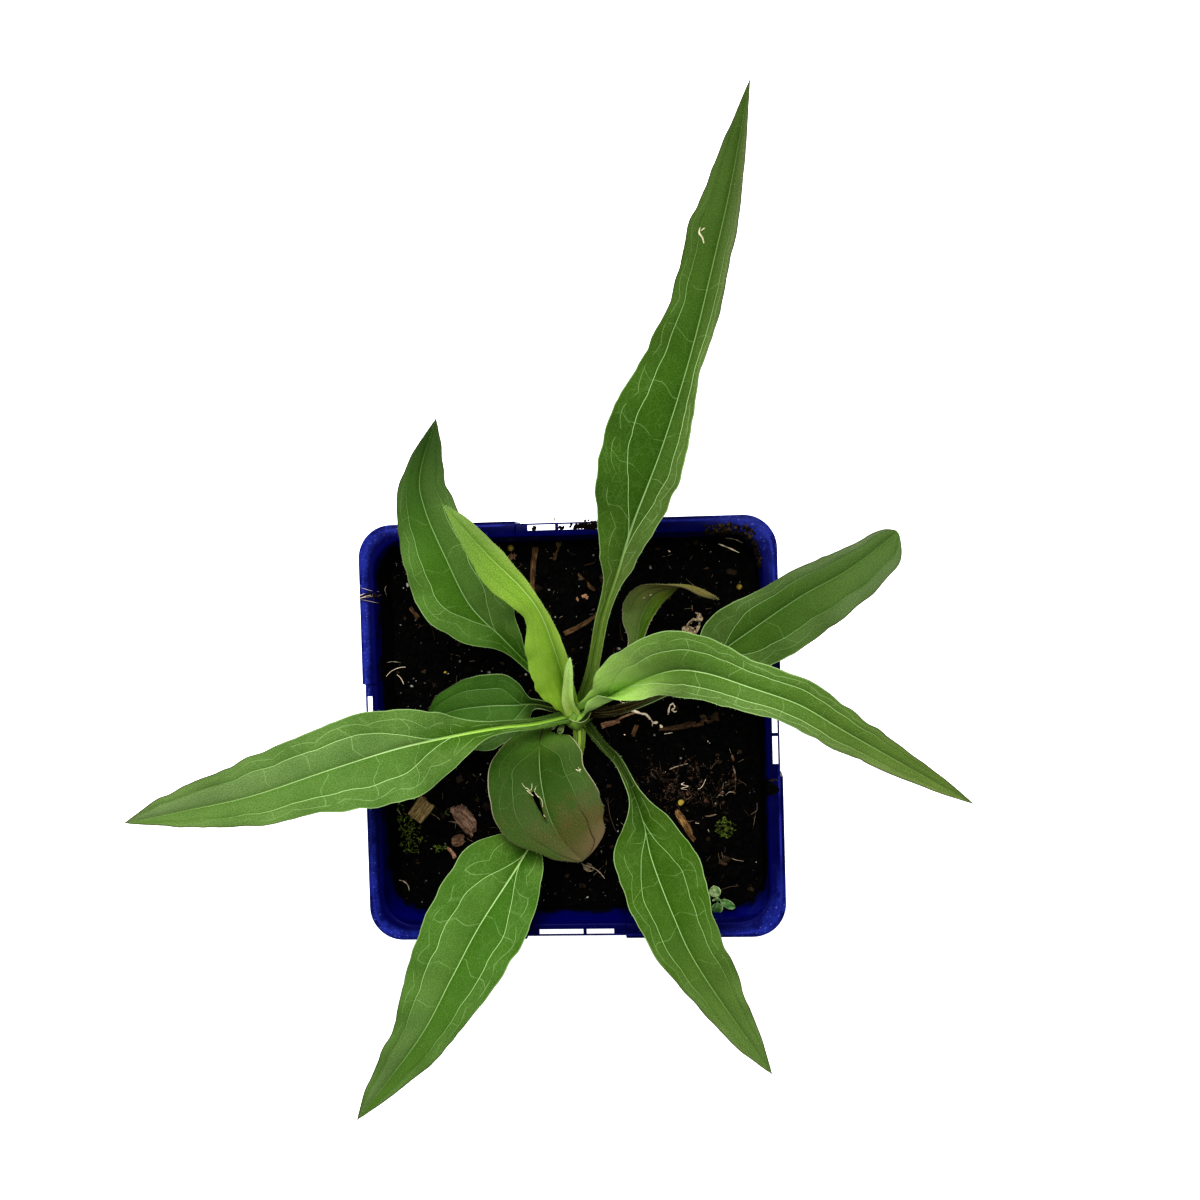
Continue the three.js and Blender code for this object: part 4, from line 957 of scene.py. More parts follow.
give_tone(rim_dirt, np.repeat(np.concatenate(dirt_tones), 12))
for piece, slot in ((roots, "bark_brown"), (beads, "bark_brown"), (dust, "bark_brown"), (moss, "weed"),
                    (specks, "soil"), (rim_dirt, "soil")):
    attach(piece, "root")


def small_leaf(length, width, stalk_share, stalk_half, cup, arch, crumple, seed):
    """Rings of a little leaf along X, lying level. Half width is the stalk's up to the stalk's
    share, then an ellipse. The section curves up at the margins by cup, the leaf bends down
    toward its tip by arch, and noise crumples it."""
    share = np.linspace(0, 1, 34)[:, None]
    middle = (1 + stalk_share) / 2
    oval = np.sqrt(np.clip(1 - ((share - middle) / (1 - middle)) ** 2, 0, 1))
    half = np.maximum(width / 2 * oval ** 1.1, stalk_half * (1 - 0.8 * eased((share - 0.9) / 0.1)))
    across = np.linspace(-1, 1, 17)[None]
    top = np.sqrt(np.clip(1 - across**4, 0, 1))
    thickness = 0.12 + 0.25 * (1 - eased(share / max(stalk_share, 0.1)))
    lift = cup * half * across**2 - arch * length * share**2
    ridge = 0.08 * np.exp(-((across * half / 0.2) ** 2))
    lift = lift + crumple * lattice_noise(share * 5 + 0 * across, across * half * 1.3, 1, seed)
    x = length * share * (1 - 0.4 * arch * share) + 0 * across
    upper = np.stack([x, across * half, lift + thickness * top / 2 - ridge], axis=-1)
    lower = np.stack([x, across * half, lift - thickness * top / 2 - 2 * ridge], axis=-1)
    return np.concatenate([upper[:, ::-1], lower[:, 1:-1]], axis=1)


def toward_margin(rings):
    """How far out each point of a small leaf is, from 0 at the midrib to 1 at the margin."""
    out = np.abs(rings[..., 1])
    return out / np.maximum(out.max(axis=1, keepdims=True), 0.01)


scrap_shapes = []
for seed, (x, y, turn, tilt, rise, length, width) in LEAF_SCRAPS.items():
    rings = small_leaf(length, width, 0.05, 0.3, 0.7, 0.3, 0.7, seed)
    scrap_shapes.append(skin(laid(rings - (length / 2, 0, 0), x, y, turn, tilt, rise)))
dry_leaf = tone_finish("dry_leaf", seen(70, 54, 38), seen(206, 188, 158))
scraps = mesh_piece("dry_leaf_scraps", *joined(scrap_shapes), dry_leaf)
scrap_tones = draw.beta(1.6, 1.6, len(scraps.data.vertices) // len(LEAF_SCRAPS))
give_tone(scraps, np.tile(scrap_tones, len(LEAF_SCRAPS)))
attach(scraps, "root")

# ---------------------------------------------------------------- Weed seedling
# A self-sown seedling in the near corner: a thin stem with four small leaves on short stalks, two
# round, one long oval and one still tiny.
WEED_X, WEED_Y = 33.6, -41.9
WEED_TOP = 84
STEM_STEPS = 14
STEM_SIDES = 10
# Leaves as (heading, length, width, stalk share, cup, arch, tilt, tone), angles in degrees.
WEED_LEAVES = ((106, 3.5, 2.9, 0.14, 0.3, 0.1, -14, 0.45), (-29, 5, 2.1, 0.16, 0.12, 0.14, -10, 0.16),
               (268, 4, 2.8, 0.26, 0.2, 0.24, -6, 0.1), (196, 1.5, 0.6, 0.3, 0.1, 0.1, -30, 0.5))

height = np.linspace(SOIL_LEVEL - 5, WEED_TOP, STEM_STEPS)
stem_path = np.column_stack([WEED_X + 0.15 * np.sin(height / 2), WEED_Y + 0 * height, height])
weed_shapes = [tubes(stem_path[None], np.linspace(0.55, 0.45, STEM_STEPS)[None], STEM_SIDES)]
weed_tones = [np.full(STEM_STEPS * STEM_SIDES, 0.3)]
for seed, (heading, length, width, stalk_share, cup, arch, tilt, leaf_tone) in enumerate(WEED_LEAVES):
    rings = small_leaf(length, width, stalk_share, 0.22, cup, arch, 0.12, seed + 3)
    weed_tones.append((leaf_tone + 0.6 * eased((toward_margin(rings) - 0.72) / 0.28)).ravel())
    weed_shapes.append(skin(tipped(rings, heading, tilt) + (WEED_X, WEED_Y, WEED_TOP - 0.3)))
weed = mesh_piece("weed_leaves", *joined(weed_shapes),
                  tone_finish("weed_green", seen(60, 100, 46), seen(176, 188, 142), 0.5))
give_tone(weed, np.concatenate(weed_tones))
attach(weed, "root")
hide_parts("weed_seedling")

# ---------------------------------------------------------------- Crown
# The short fleshy stem base: five blunt lobes where the stalks join it, brownish at the foot
# and pale green at the top.
CROWN_RADIUS = 4.2
CROWN_FOOT = 68
CROWN_SHOULDER = 81.5
CROWN_TOP = 87.2
CROWN_BROWN_TO, CROWN_GREEN_FROM = 80, 86


def flesh_finish():
    """Living stem: brown at the foot and green at the top, with fine paler flecks."""
    finish, tree, shader = new_finish("crown_flesh", Roughness=0.55, Specular_IOR_Level=0.35)
    height = apart(place_on_piece(tree)[0])[2]
    ragged = height + speckle(tree, 400, 3).scaled(0.004, -0.002)
    share = ragged.ramp(CROWN_BROWN_TO * MM, CROWN_GREEN_FROM * MM)
    colour = blend(share, seen(84, 62, 40), seen(120, 150, 66))
    flecked = blend(speckle(tree, 1200, 2).ramp(0.5, 0.8), colour, seen(150, 178, 96))
    give(shader, Base_Color=blend(0.35, colour, flecked))
    relief(shader, speckle(tree, 1800, 2), 0.12)
    return finish


crown_share = np.linspace(0, 1, 40)[:, None]
crown_angle = np.linspace(0, 2 * math.pi, 61)[None, :-1]
crown_height = CROWN_FOOT + (CROWN_TOP - CROWN_FOOT) * crown_share
dome = np.clip((crown_height - CROWN_SHOULDER) / (CROWN_TOP - CROWN_SHOULDER), 0, 1)
lobes = 1 + 0.07 * np.cos(5 * crown_angle + 1.3) + 0.03 * np.cos(11 * crown_angle + 4 * crown_share)
crown_radius = CROWN_RADIUS * 0.93 * lobes * np.sqrt(np.clip(1.003 - dome**2, 0, 1))
crown_rings = np.stack([CROWN_X + crown_radius * np.cos(crown_angle),
                        CROWN_Y + crown_radius * np.sin(crown_angle),
                        crown_height + 0 * crown_angle], axis=-1)
crown = mesh_piece("crown_stem", *skin(crown_rings), flesh_finish())
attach(crown, "root")
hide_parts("crown")

# Small scale leaves and leaf stubs that stand round the crown, below the stalks, and the open
# sheath of the arching leaf's stalk with its whitish edge.
# Scale leaves as (x, y, height, heading, length, width, tilt).
CROWN_SCALES = ((-2.4, 0.8, 84.4, 243, 2.8, 1.6, -4), (-3.8, 1.2, 83.8, 214, 3.2, 1.5, -4),
                (-3.2, 5.4, 82.6, 150, 3, 1.4, -8), (3.6, 6.2, 82.6, 50, 3.2, 1.2, -20))
SHEATH_EDGE = ((-0.6, 2.4, 87.3), (0.8, 1.8, 87.7), (2.4, 1.6, 87.9), (3.9, 2.4, 88.1), (4.7, 3.9, 88.4))
SHEATH_HALF_HEIGHT = 1.6
SHEATH_HALF_THICKNESS = 0.22
SHEATH_STEPS = 40
scale_shapes, scale_tones = [], []
for seed, (x, y, height, heading, length, width, tilt) in enumerate(CROWN_SCALES):
    rings = small_leaf(length, width, 0.08, 0.5, 0.5, 0.2, 0.1, seed + 20)
    scale_tones.append((0.3 + 0.5 * eased((toward_margin(rings) - 0.7) / 0.3)).ravel())
    scale_shapes.append(skin(tipped(rings, heading, tilt) + (x, y, height)))
# The sheath's section is an upright ellipse, carried along its edge.
edge = through(SHEATH_EDGE, np.linspace(0, len(SHEATH_EDGE) - 1, SHEATH_STEPS))[:, None]
ahead = np.gradient(edge[:, 0, :2], axis=0)
ahead = ahead / np.linalg.norm(ahead, axis=1, keepdims=True)
aside = np.column_stack([ahead[:, 1], -ahead[:, 0], np.zeros(SHEATH_STEPS)])[:, None]
angle = np.linspace(0, 2 * math.pi, 17)[:-1, None]
rings = edge + SHEATH_HALF_THICKNESS * np.cos(angle) * aside
rings = rings + SHEATH_HALF_HEIGHT * (np.sin(angle) - 1) * np.array([0, 0, 1.0])
scale_shapes.append(skin(rings[:, ::-1]))
whitish = 0.1 + 0.9 * eased((np.sin(angle[::-1, 0]) - 0.5) / 0.45)
scale_tones.append(np.tile(whitish, SHEATH_STEPS))
scale_green = tone_finish("scale_green", seen(76, 98, 34), seen(182, 196, 142), 0.55)
scales = mesh_piece("crown_scales", *joined(scale_shapes), scale_green)
give_tone(scales, np.concatenate(scale_tones))
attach(scales, "root")

# ---------------------------------------------------------------- Leaves
# Twelve leaves from the crown, each one blade with its stalk: thin, folded a little along the
# midrib, with waved edges, sunken veins and a midrib that stands out below.
# rib is the midrib from crown to tip as (x, y, z, roll, fold), angles in degrees. width is the
# half widths as (share of the length, left, right). wave is (height, length, start) of the ripple.
# fork is the share of the length where the left and right side veins leave the midrib.
# tones are the colours of stalk, blade and tip, as they look, with light and shade painted in: shaded leaves
# and parts are painted paler, several tips greyer with a painted sheen, and the newest leaf palest of all
# against the shade of its steep fold. veins are the midrib's width at the stalk, how strong the other veins
# are, and the midrib's colour at the stalk. sheen is painted light and shade: how much paler, as a painted
# sheen, or deeper, as painted shade (below 0), the blade is outside the left side vein, inside it, and so on
# to the right margin. Only some leaves have these: neck is painted shade, how much deeper the green is where
# the blade begins, age is how far the leaf has turned brown, under is the colour below, turned_up is a side
# whose margin is turned up and over (from which share, most where, to which), and tear is a torn slit as
# (start, end, width).
LEAVES = {
    "leaf_folded": {
        "slot": "leaf_old", "fork": (0.34, 0.38), "age": 0.35, "under": (112, 110, 62),
        "tones": ((80, 104, 50), (105, 126, 64), (98, 84, 44)),
        "veins": (0.2, 0.5, (120, 140, 80)),
        "sheen": (0.22, 0.2, -0.12, -0.3),
        "rib": [(2, 5, 83, 0, 25), (10, 12, 86, 0, 25), (15.8, 20, 91, 0, 20),
                (18.2, 27, 97, 0, 15), (21.5, 31.6, 102, -30, 10), (26.5, 33.6, 104, -75, 5),
                (31, 33, 102, -110, 5), (36.2, 30.2, 98, -125, 5)],
        "width": [(0, 1.2, 1.2), (0.3, 1.2, 1.2), (0.4, 1.8, 1.6), (0.52, 4, 2.4), (0.64, 5.6, 2.8),
                  (0.76, 4.4, 2.4), (0.88, 2.2, 1.4), (1, 0, 0)],
        "wave": (0.2, 12, 0),
    },
    "leaf_right_low": {
        "slot": "leaf_dark", "fork": (0.44, 0.4),
        "tones": ((54, 42, 24), (70, 94, 40), (82, 101, 59)),
        "veins": (0.35, 0.95, (84, 70, 40)),
        "sheen": (0.18, -0.1, -0.12, 0.08),
        "rib": [(2, 3.5, 83, 0, 25), (10, 4, 85.5, 0, 25), (19, 7, 89, 0, 25), (29, 12, 94, 0, 20),
                (36, 18, 98, 0, 12), (43, 23, 102, 0, 8), (55, 31, 107, 0, 8), (66, 37, 109, 0, 8),
                (77, 45, 107, 0, 12)],
        "width": [(0, 1.6, 1.6), (0.3, 1.3, 1.3), (0.39, 3, 4), (0.46, 7.2, 7.4), (0.55, 7.8, 9),
                  (0.65, 6.6, 10), (0.78, 5.8, 8.8), (0.88, 4.4, 7), (0.95, 3.4, 5.6), (1, 1.4, 2.4)],
        "wave": (0.4, 14, 1),
    },
    "leaf_small_low": {
        "slot": "leaf_dark", "fork": (0.26, 0.3),
        "tones": ((36, 38, 15), (71, 101, 42), (62, 93, 36)),
        "veins": (0.4, 0.7, (90, 110, 50)),
        "neck": 0.6, "sheen": (0.26, -0.04, 0.02, -0.08),
        "rib": [(-1, 4, 83, 0, 25), (-5, 5, 84.5, 0, 25), (-9, 6, 86, 4, 15), (-14, 6, 88, 6, 8),
                (-20, 6, 89, 6, 6), (-28, 5, 88, 6, 6), (-36, 2, 84.5, 4, 8)],
        "width": [(0, 1.5, 1.5), (0.22, 1.2, 1.4), (0.28, 4.6, 2.2), (0.34, 7, 5.6), (0.42, 9, 7.4),
                  (0.54, 10.4, 8), (0.66, 10, 7.2), (0.8, 8, 5.2), (0.92, 4.4, 2.6), (1, 0, 0)],
        "wave": (0.4, 11, 2),
    },
    "leaf_lower_left": {
        "slot": "leaf_light", "fork": (0.33, 0.31),
        "tones": ((98, 115, 46), (73, 106, 37), (88, 112, 60)),
        "veins": (0.7, 0.95, (160, 182, 96)),
        "neck": 1, "sheen": (0, -0.15, 0.15, 0.02),
        "rib": [(1.5, 1.5, 83, 0, 25), (1, -6, 84, 0, 25), (-3, -16, 85.5, 0, 25),
                (-9, -25, 88, 0, 20), (-14, -33, 92.5, 0, 10), (-22, -45, 99, 0, 8),
                (-28, -56, 104, 0, 8), (-36, -70, 106, 0, 8), (-52, -90, 103, 0, 14)],
        "width": [(0, 1.7, 1.7), (0.26, 1.2, 1.5), (0.31, 4.2, 8), (0.38, 8.4, 12.6),
                  (0.48, 11, 12.8), (0.6, 10, 11.2), (0.7, 7.4, 9.2), (0.8, 5.6, 6),
                  (0.9, 3.1, 3.8), (1, 0, 0)],
        "wave": (0.7, 13, 0.5),
    },
    "leaf_lower_right": {
        "slot": "leaf_mid", "fork": (0.29, 0.32),
        "tones": ((58, 72, 27), (63, 92, 22), (93, 114, 62)),
        "veins": (0.22, 0.85, (44, 60, 20)),
        "neck": 0.7, "sheen": (0.03, -0.01, -0.03, 0.04),
        "rib": [(3, 1, 83, 0, 25), (7, -4, 85, 0, 25), (11, -8, 87, 0, 25), (14, -14, 89.5, 0, 20),
                (17, -22, 93, 0, 12), (19, -30, 97, 0, 8), (24, -42, 103, 0, 8),
                (30, -54, 106, 0, 8), (46, -79, 104, 0, 14)],
        "width": [(0, 1.4, 1.4), (0.17, 1.3, 1.3), (0.25, 3, 2), (0.33, 7.4, 7), (0.42, 10.6, 8.8),
                  (0.5, 10.4, 8.6), (0.6, 8.9, 7.8), (0.7, 7.7, 5.9), (0.8, 5.7, 4.6),
                  (0.9, 3.2, 3), (1, 0, 0)],
        "wave": (0.6, 12, 1.5),
    },
    "leaf_old_torn": {
        "slot": "leaf_old", "fork": (0.24, 0.28), "age": 1.0,
        "tones": ((96, 124, 60), (56, 80, 29), (74, 88, 49)),
        "veins": (0.2, 0.5, (70, 52, 48)),
        "neck": 0.3, "sheen": (0.28, -0.1, 0, -0.12),
        "rib": [(-2, 2, 83, 0, 25), (-6, 1, 83.5, 0, 20), (-7.5, -1, 86, 0, 14),
                (-7.6, -4.5, 90.5, 0, 8), (-6.8, -11, 95.5, 0, 6), (-5, -18.5, 98, 0, 6),
                (-2, -25, 97.8, 0, 7), (2.6, -30.4, 96.4, 0, 8)],
        "width": [(0, 1.6, 1.6), (0.12, 1.4, 1.6), (0.19, 5.4, 5), (0.29, 8.9, 9),
                  (0.4, 10.6, 11.8), (0.49, 11.2, 12.6), (0.58, 12.6, 12.6), (0.66, 13.3, 12),
                  (0.74, 13.4, 10.4), (0.84, 12.4, 5.8), (0.93, 10.6, 2.8), (1, 7.5, 1)],
        "wave": (0.4, 16, 0),
        "tear": ((-8.6, -13.6), (-5.2, -21), 1.7),
    },
    "leaf_upper_left": {
        "slot": "leaf_mid", "fork": (0.36, 0.34),
        "tones": ((78, 108, 40), (86, 117, 51), (46, 68, 24)),
        "veins": (0.45, 0.95, (110, 150, 60)),
        "neck": 0.8, "sheen": (0.03, -0.17, 0.1, 0.2),
        "rib": [(-1, 5, 83.5, 0, 30), (-5, 11, 88, 0, 30), (-9, 16, 94, 0, 25),
                (-14, 23, 102, 0, 15), (-20, 31, 110, 0, 10), (-24, 42, 117, 0, 8),
                (-28, 53, 119, 0, 8), (-29, 61, 118, 0, 10), (-26, 74, 112, 0, 14)],
        "width": [(0, 1.8, 1.8), (0.22, 1.4, 1.8), (0.32, 3.3, 5), (0.4, 7, 8), (0.5, 9.8, 9.4),
                  (0.6, 9.8, 8.6), (0.7, 7.6, 7.4), (0.8, 4.8, 6.4), (0.9, 2.3, 4), (1, 0, 0)],
        "wave": (0.5, 13, 2.5),
    },
    "leaf_left": {
        "slot": "leaf_light", "fork": (0.28, 0.32),
        "tones": ((89, 115, 55), (90, 118, 59), (102, 124, 73)),
        "veins": (0.9, 1, (170, 204, 100)),
        "neck": 0.8, "sheen": (-0.04, -0.07, 0.14, 0),
        "rib": [(-1, 3, 86, 0, 35), (-8, 2, 92.5, 0, 35), (-15, 2, 100, 0, 25),
                (-24, 1.2, 108, 0, 15), (-36, -0.6, 117, 0, 10), (-49.8, -4.2, 124, 0, 8),
                (-67.4, -9.5, 127, 0, 10), (-83.5, -12.8, 126, 0, 12), (-99, -16, 122, 0, 14)],
        "width": [(0, 2, 2), (0.16, 1.5, 1.8), (0.24, 3.1, 2.8), (0.32, 8.3, 6.1), (0.4, 11.8, 8.9),
                  (0.5, 11, 10.4), (0.6, 8.4, 9.2), (0.7, 6.9, 8.5), (0.8, 4.8, 6.5),
                  (0.9, 2.5, 3.9), (1, 0, 0)],
        "wave": (0.7, 17, 0),
    },
    "leaf_long_upright": {
        "slot": "leaf_mid", "fork": (0.35, 0.31),
        "tones": ((115, 131, 67), (71, 99, 36), (69, 86, 42)),
        "veins": (0.9, 1.15, (140, 165, 84)),
        "sheen": (-0.08, -0.16, 0.08, 0.48),
        "rib": [(2, 5, 83, 0, 30), (6, 14, 93.5, 0, 35), (10, 27, 106, 0, 30),
                (14.7, 37.8, 117, 5, 22), (19, 48.4, 126, 8, 14), (26.5, 64.3, 138, 10, 10),
                (33.4, 82.6, 147, 12, 10), (38.6, 100.4, 151, 12, 12), (42.7, 116.8, 150, 10, 14),
                (47, 139, 144, 5, 18)],
        "width": [(0, 2, 2), (0.24, 2.1, 1.6), (0.32, 5, 3.4), (0.4, 9.5, 5.5), (0.5, 12.6, 6.6),
                  (0.6, 10.3, 3.6), (0.7, 6.9, 3.9), (0.8, 6.3, 3.5), (0.9, 3.3, 1.9), (1, 0, 0)],
        "wave": (0.5, 20, 1),
    },
    "leaf_arching": {
        "slot": "leaf_light", "fork": (0.1, 0.2),
        "tones": ((188, 220, 130), (86, 113, 52), (104, 123, 64)),
        "veins": (0.3, 0.92, (150, 190, 90)),
        "sheen": (0, -0.07, -0.02, 0.15),
        "rib": [(2, 4, 86, 0, 55), (8, 7.5, 96.5, 0, 50), (16, 12, 111, -5, 35),
                (26, 16, 124, -8, 20), (34, 16, 132, -8, 12), (44, 13, 137, -5, 8),
                (54, 9, 135, 0, 8), (63, 3, 130, 0, 8), (75, -5, 121, 0, 10), (93, -17, 106, 0, 14)],
        "width": [(0, 2.8, 2.8), (0.08, 3.6, 2.6), (0.16, 5.8, 2.8), (0.24, 8.9, 3.8),
                  (0.32, 10.1, 5.2), (0.4, 9.2, 6.2), (0.5, 6, 5.4), (0.6, 5.6, 4.8),
                  (0.7, 4.4, 4.2), (0.8, 3.2, 3.2), (0.9, 2, 1.9), (1, 0, 0)],
        "wave": (0.4, 18, 2),
        "turned_up": (1, 0.01, 0.12, 0.29),
    },
    "leaf_young": {
        "slot": "leaf_young", "fork": (0.2, 0.24),
        "tones": ((178, 211, 87), (145, 178, 72), (101, 126, 61)),
        "veins": (0.16, 0.15, (200, 230, 120)),
        "sheen": (0, -0.02, 0.02, 0.22),
        "rib": [(0.5, 4.5, 86, 0, 50), (0, 12, 99, 0, 40), (-0.5, 20, 112, 0, 25),
                (-2, 29, 124, 0, 12), (-5, 35, 131, 0, 8), (-11, 42, 136, 0, 8),
                (-16, 48, 138, 0, 10), (-21, 54, 137, 0, 14)],
        "width": [(0, 2.6, 2.6), (0.12, 4.9, 3), (0.22, 6.9, 3), (0.32, 7.1, 3), (0.44, 6.2, 2.6),
                  (0.54, 3.9, 1.9), (0.62, 3.7, 1.6), (0.72, 5, 2.3), (0.82, 3.8, 2.9),
                  (0.92, 1.7, 2.2), (1, 0, 0)],
        "wave": (0.3, 14, 0),
    },
    "leaf_newest": {
        "slot": "leaf_young", "fork": (0.6, 0.6),
        "tones": ((234, 248, 160), (215, 240, 150), (205, 232, 152)),
        "veins": (0.0, 0.0, (200, 220, 150)),
        "sheen": (0, 0, 0, 0),
        "rib": [(0.6, 3.6, 86, 0, 30), (0.4, 7.6, 95.5, 0, 30), (1.6, 13, 105, 0, 26),
                (2.8, 18.3, 113, 0, 20)],
        "width": [(0, 1.9, 1.9), (0.3, 1.8, 1.8), (0.6, 1.4, 1.4), (0.85, 1.05, 1.05),
                  (1, 0.6, 0.6)],
        "wave": (0, 10, 0),
    },
}
VEIN_COLOURS = {
    "leaf_young": seen(196, 214, 150), "leaf_light": seen(172, 196, 142),
    "leaf_mid": seen(156, 182, 130), "leaf_dark": seen(132, 156, 112), "leaf_old": seen(122, 144, 98),
}
PAINTED_SHEEN_TINT = (1.2, 0.6, 2.5)
UNDER_GREEN = (150, 172, 118)
MARGIN_PALE = seen(150, 172, 122)
MARGIN_DRY = seen(176, 164, 146)
MARGIN_PURPLE = seen(66, 58, 50)
BROWNED = (seen(72, 62, 34), seen(104, 92, 54))
BROWNED_TIP = seen(106, 90, 68)
BURNT_VEIN = seen(40, 30, 22)
ROW_STEP = 0.6
INNER_COLUMNS = 11
OUTER_COLUMNS = 12
BLADE_THICKNESS = 0.42
MARGIN_ROUND = 0.25
RIB_HALF_WIDTH = 1.3
RIB_DEPTH_BASE = 1.7
RIB_DEPTH_TIP = 0.2
VEIN_SPACING = 11
SIDE_VEIN_AT_FOOT = 0.46
SIDE_VEIN_SPREAD = 0.18
QUILT_INNER, QUILT_OUTER = 0.21, 0.13
MIDRIB_GROOVE, SIDE_GROOVE = 0.16, 0.1
SIDE_RIB_DEPTH = 0.22
MARGIN_NOISE = ((4, 0.34), (1.8, 0.09))
TIP_ROUND = 2.5
FOLD_CURVE = 1.6
CURL_START = 0.9
CURL_RADIUS = 0.45
CURL_TURN = math.radians(110)
CURL_GROWTH = 0.6


def unit(vectors):
    """The same directions at length 1."""
    return vectors / np.linalg.norm(vectors, axis=-1, keepdims=True)


def bunched(count):
    """Shares from 0 to 1 that stand closer together at both ends."""
    share = np.linspace(0, 1, count)
    return share - 0.13 * np.sin(2 * math.pi * share)


def turned_over(out, turned):
    """Where a half blade's points stand when it turns up and over: how far they reach from the
    midrib, how high they rise above the blade, and how far they are turned. Beyond CURL_START
    a point goes round an arc of CURL_RADIUS up to CURL_TURN times turned, then straight on."""
    past = np.maximum(out - CURL_START, 0)
    turn = np.minimum(past / CURL_RADIUS, CURL_TURN * turned)
    straight = past - CURL_RADIUS * turn
    reach = np.minimum(out, CURL_START) + CURL_RADIUS * np.sin(turn) + straight * np.cos(turn)
    rise = CURL_RADIUS * (1 - np.cos(turn)) + straight * np.sin(turn)
    return {"reach": reach, "rise": rise, "turn": turn}


def half_blade(leaf, side, share, along, width):
    """One half of the blade, from the midrib (first column) to the margin (last column), as
    arrays of (rows, columns). Columns bunch along the midrib, the side vein and the margin.
    The side vein leaves the midrib at the fork and runs at about half the width. Cross veins
    run forward from the midrib at even spacings, and outside the side vein they arch from
    one to the next."""
    fork = leaf["fork"][0 if side < 0 else 1]
    ratio = SIDE_VEIN_AT_FOOT + SIDE_VEIN_SPREAD * share
    wander = 0.9 * np.sin(along / 6.1 + side)
    phase = (along - 0.5 * width * ratio + wander + 4.7 * side) / VEIN_SPACING
    arch = np.abs(np.sin(math.pi * phase)) ** 0.8
    vein = width * ratio * eased((share - fork) / 0.17) ** 0.7 * (0.96 + 0.06 * arch)
    guide = np.maximum(vein, 0.3 * width)
    inner = guide * bunched(INNER_COLUMNS)
    outer = guide + (width - guide) * bunched(OUTER_COLUMNS)[1:]
    out = np.hstack([inner, outer])
    zigzag = 1.5 * np.abs((out / 3.1 + 0.4 * side + 0.3 * np.sin(along / 5)) % 2 - 1)
    cross = along - 0.35 * out + wander + zigzag + 4.7 * side
    loop = vein + (width - vein) * (0.36 + 0.26 * arch)
    across_inner = np.clip(out / np.maximum(vein, 0.01), 0, 1)
    across_outer = np.clip((out - vein) / np.maximum(width - vein, 0.01), 0, 1)
    swell = 0.65 + 0.35 * np.cos(2 * math.pi * cross / VEIN_SPACING + math.pi)
    quilt = QUILT_INNER * np.sin(math.pi * across_inner) + QUILT_OUTER * np.sin(math.pi * across_outer)
    quilt = quilt * swell * eased((width - 2) / 5)
    side_groove = SIDE_GROOVE * np.exp(-(((out - vein) / 0.35) ** 2)) * eased((share - fork) / 0.1)
    groove = MIDRIB_GROOVE * np.exp(-((out / 0.5) ** 2)) + side_groove
    return {
        "out": out, "across": side * out, "lateral": out - vein, "loop": out - loop,
        "cross": cross, "margin": width - out, "lift": quilt - groove,
        "width": width + 0 * out,
    }


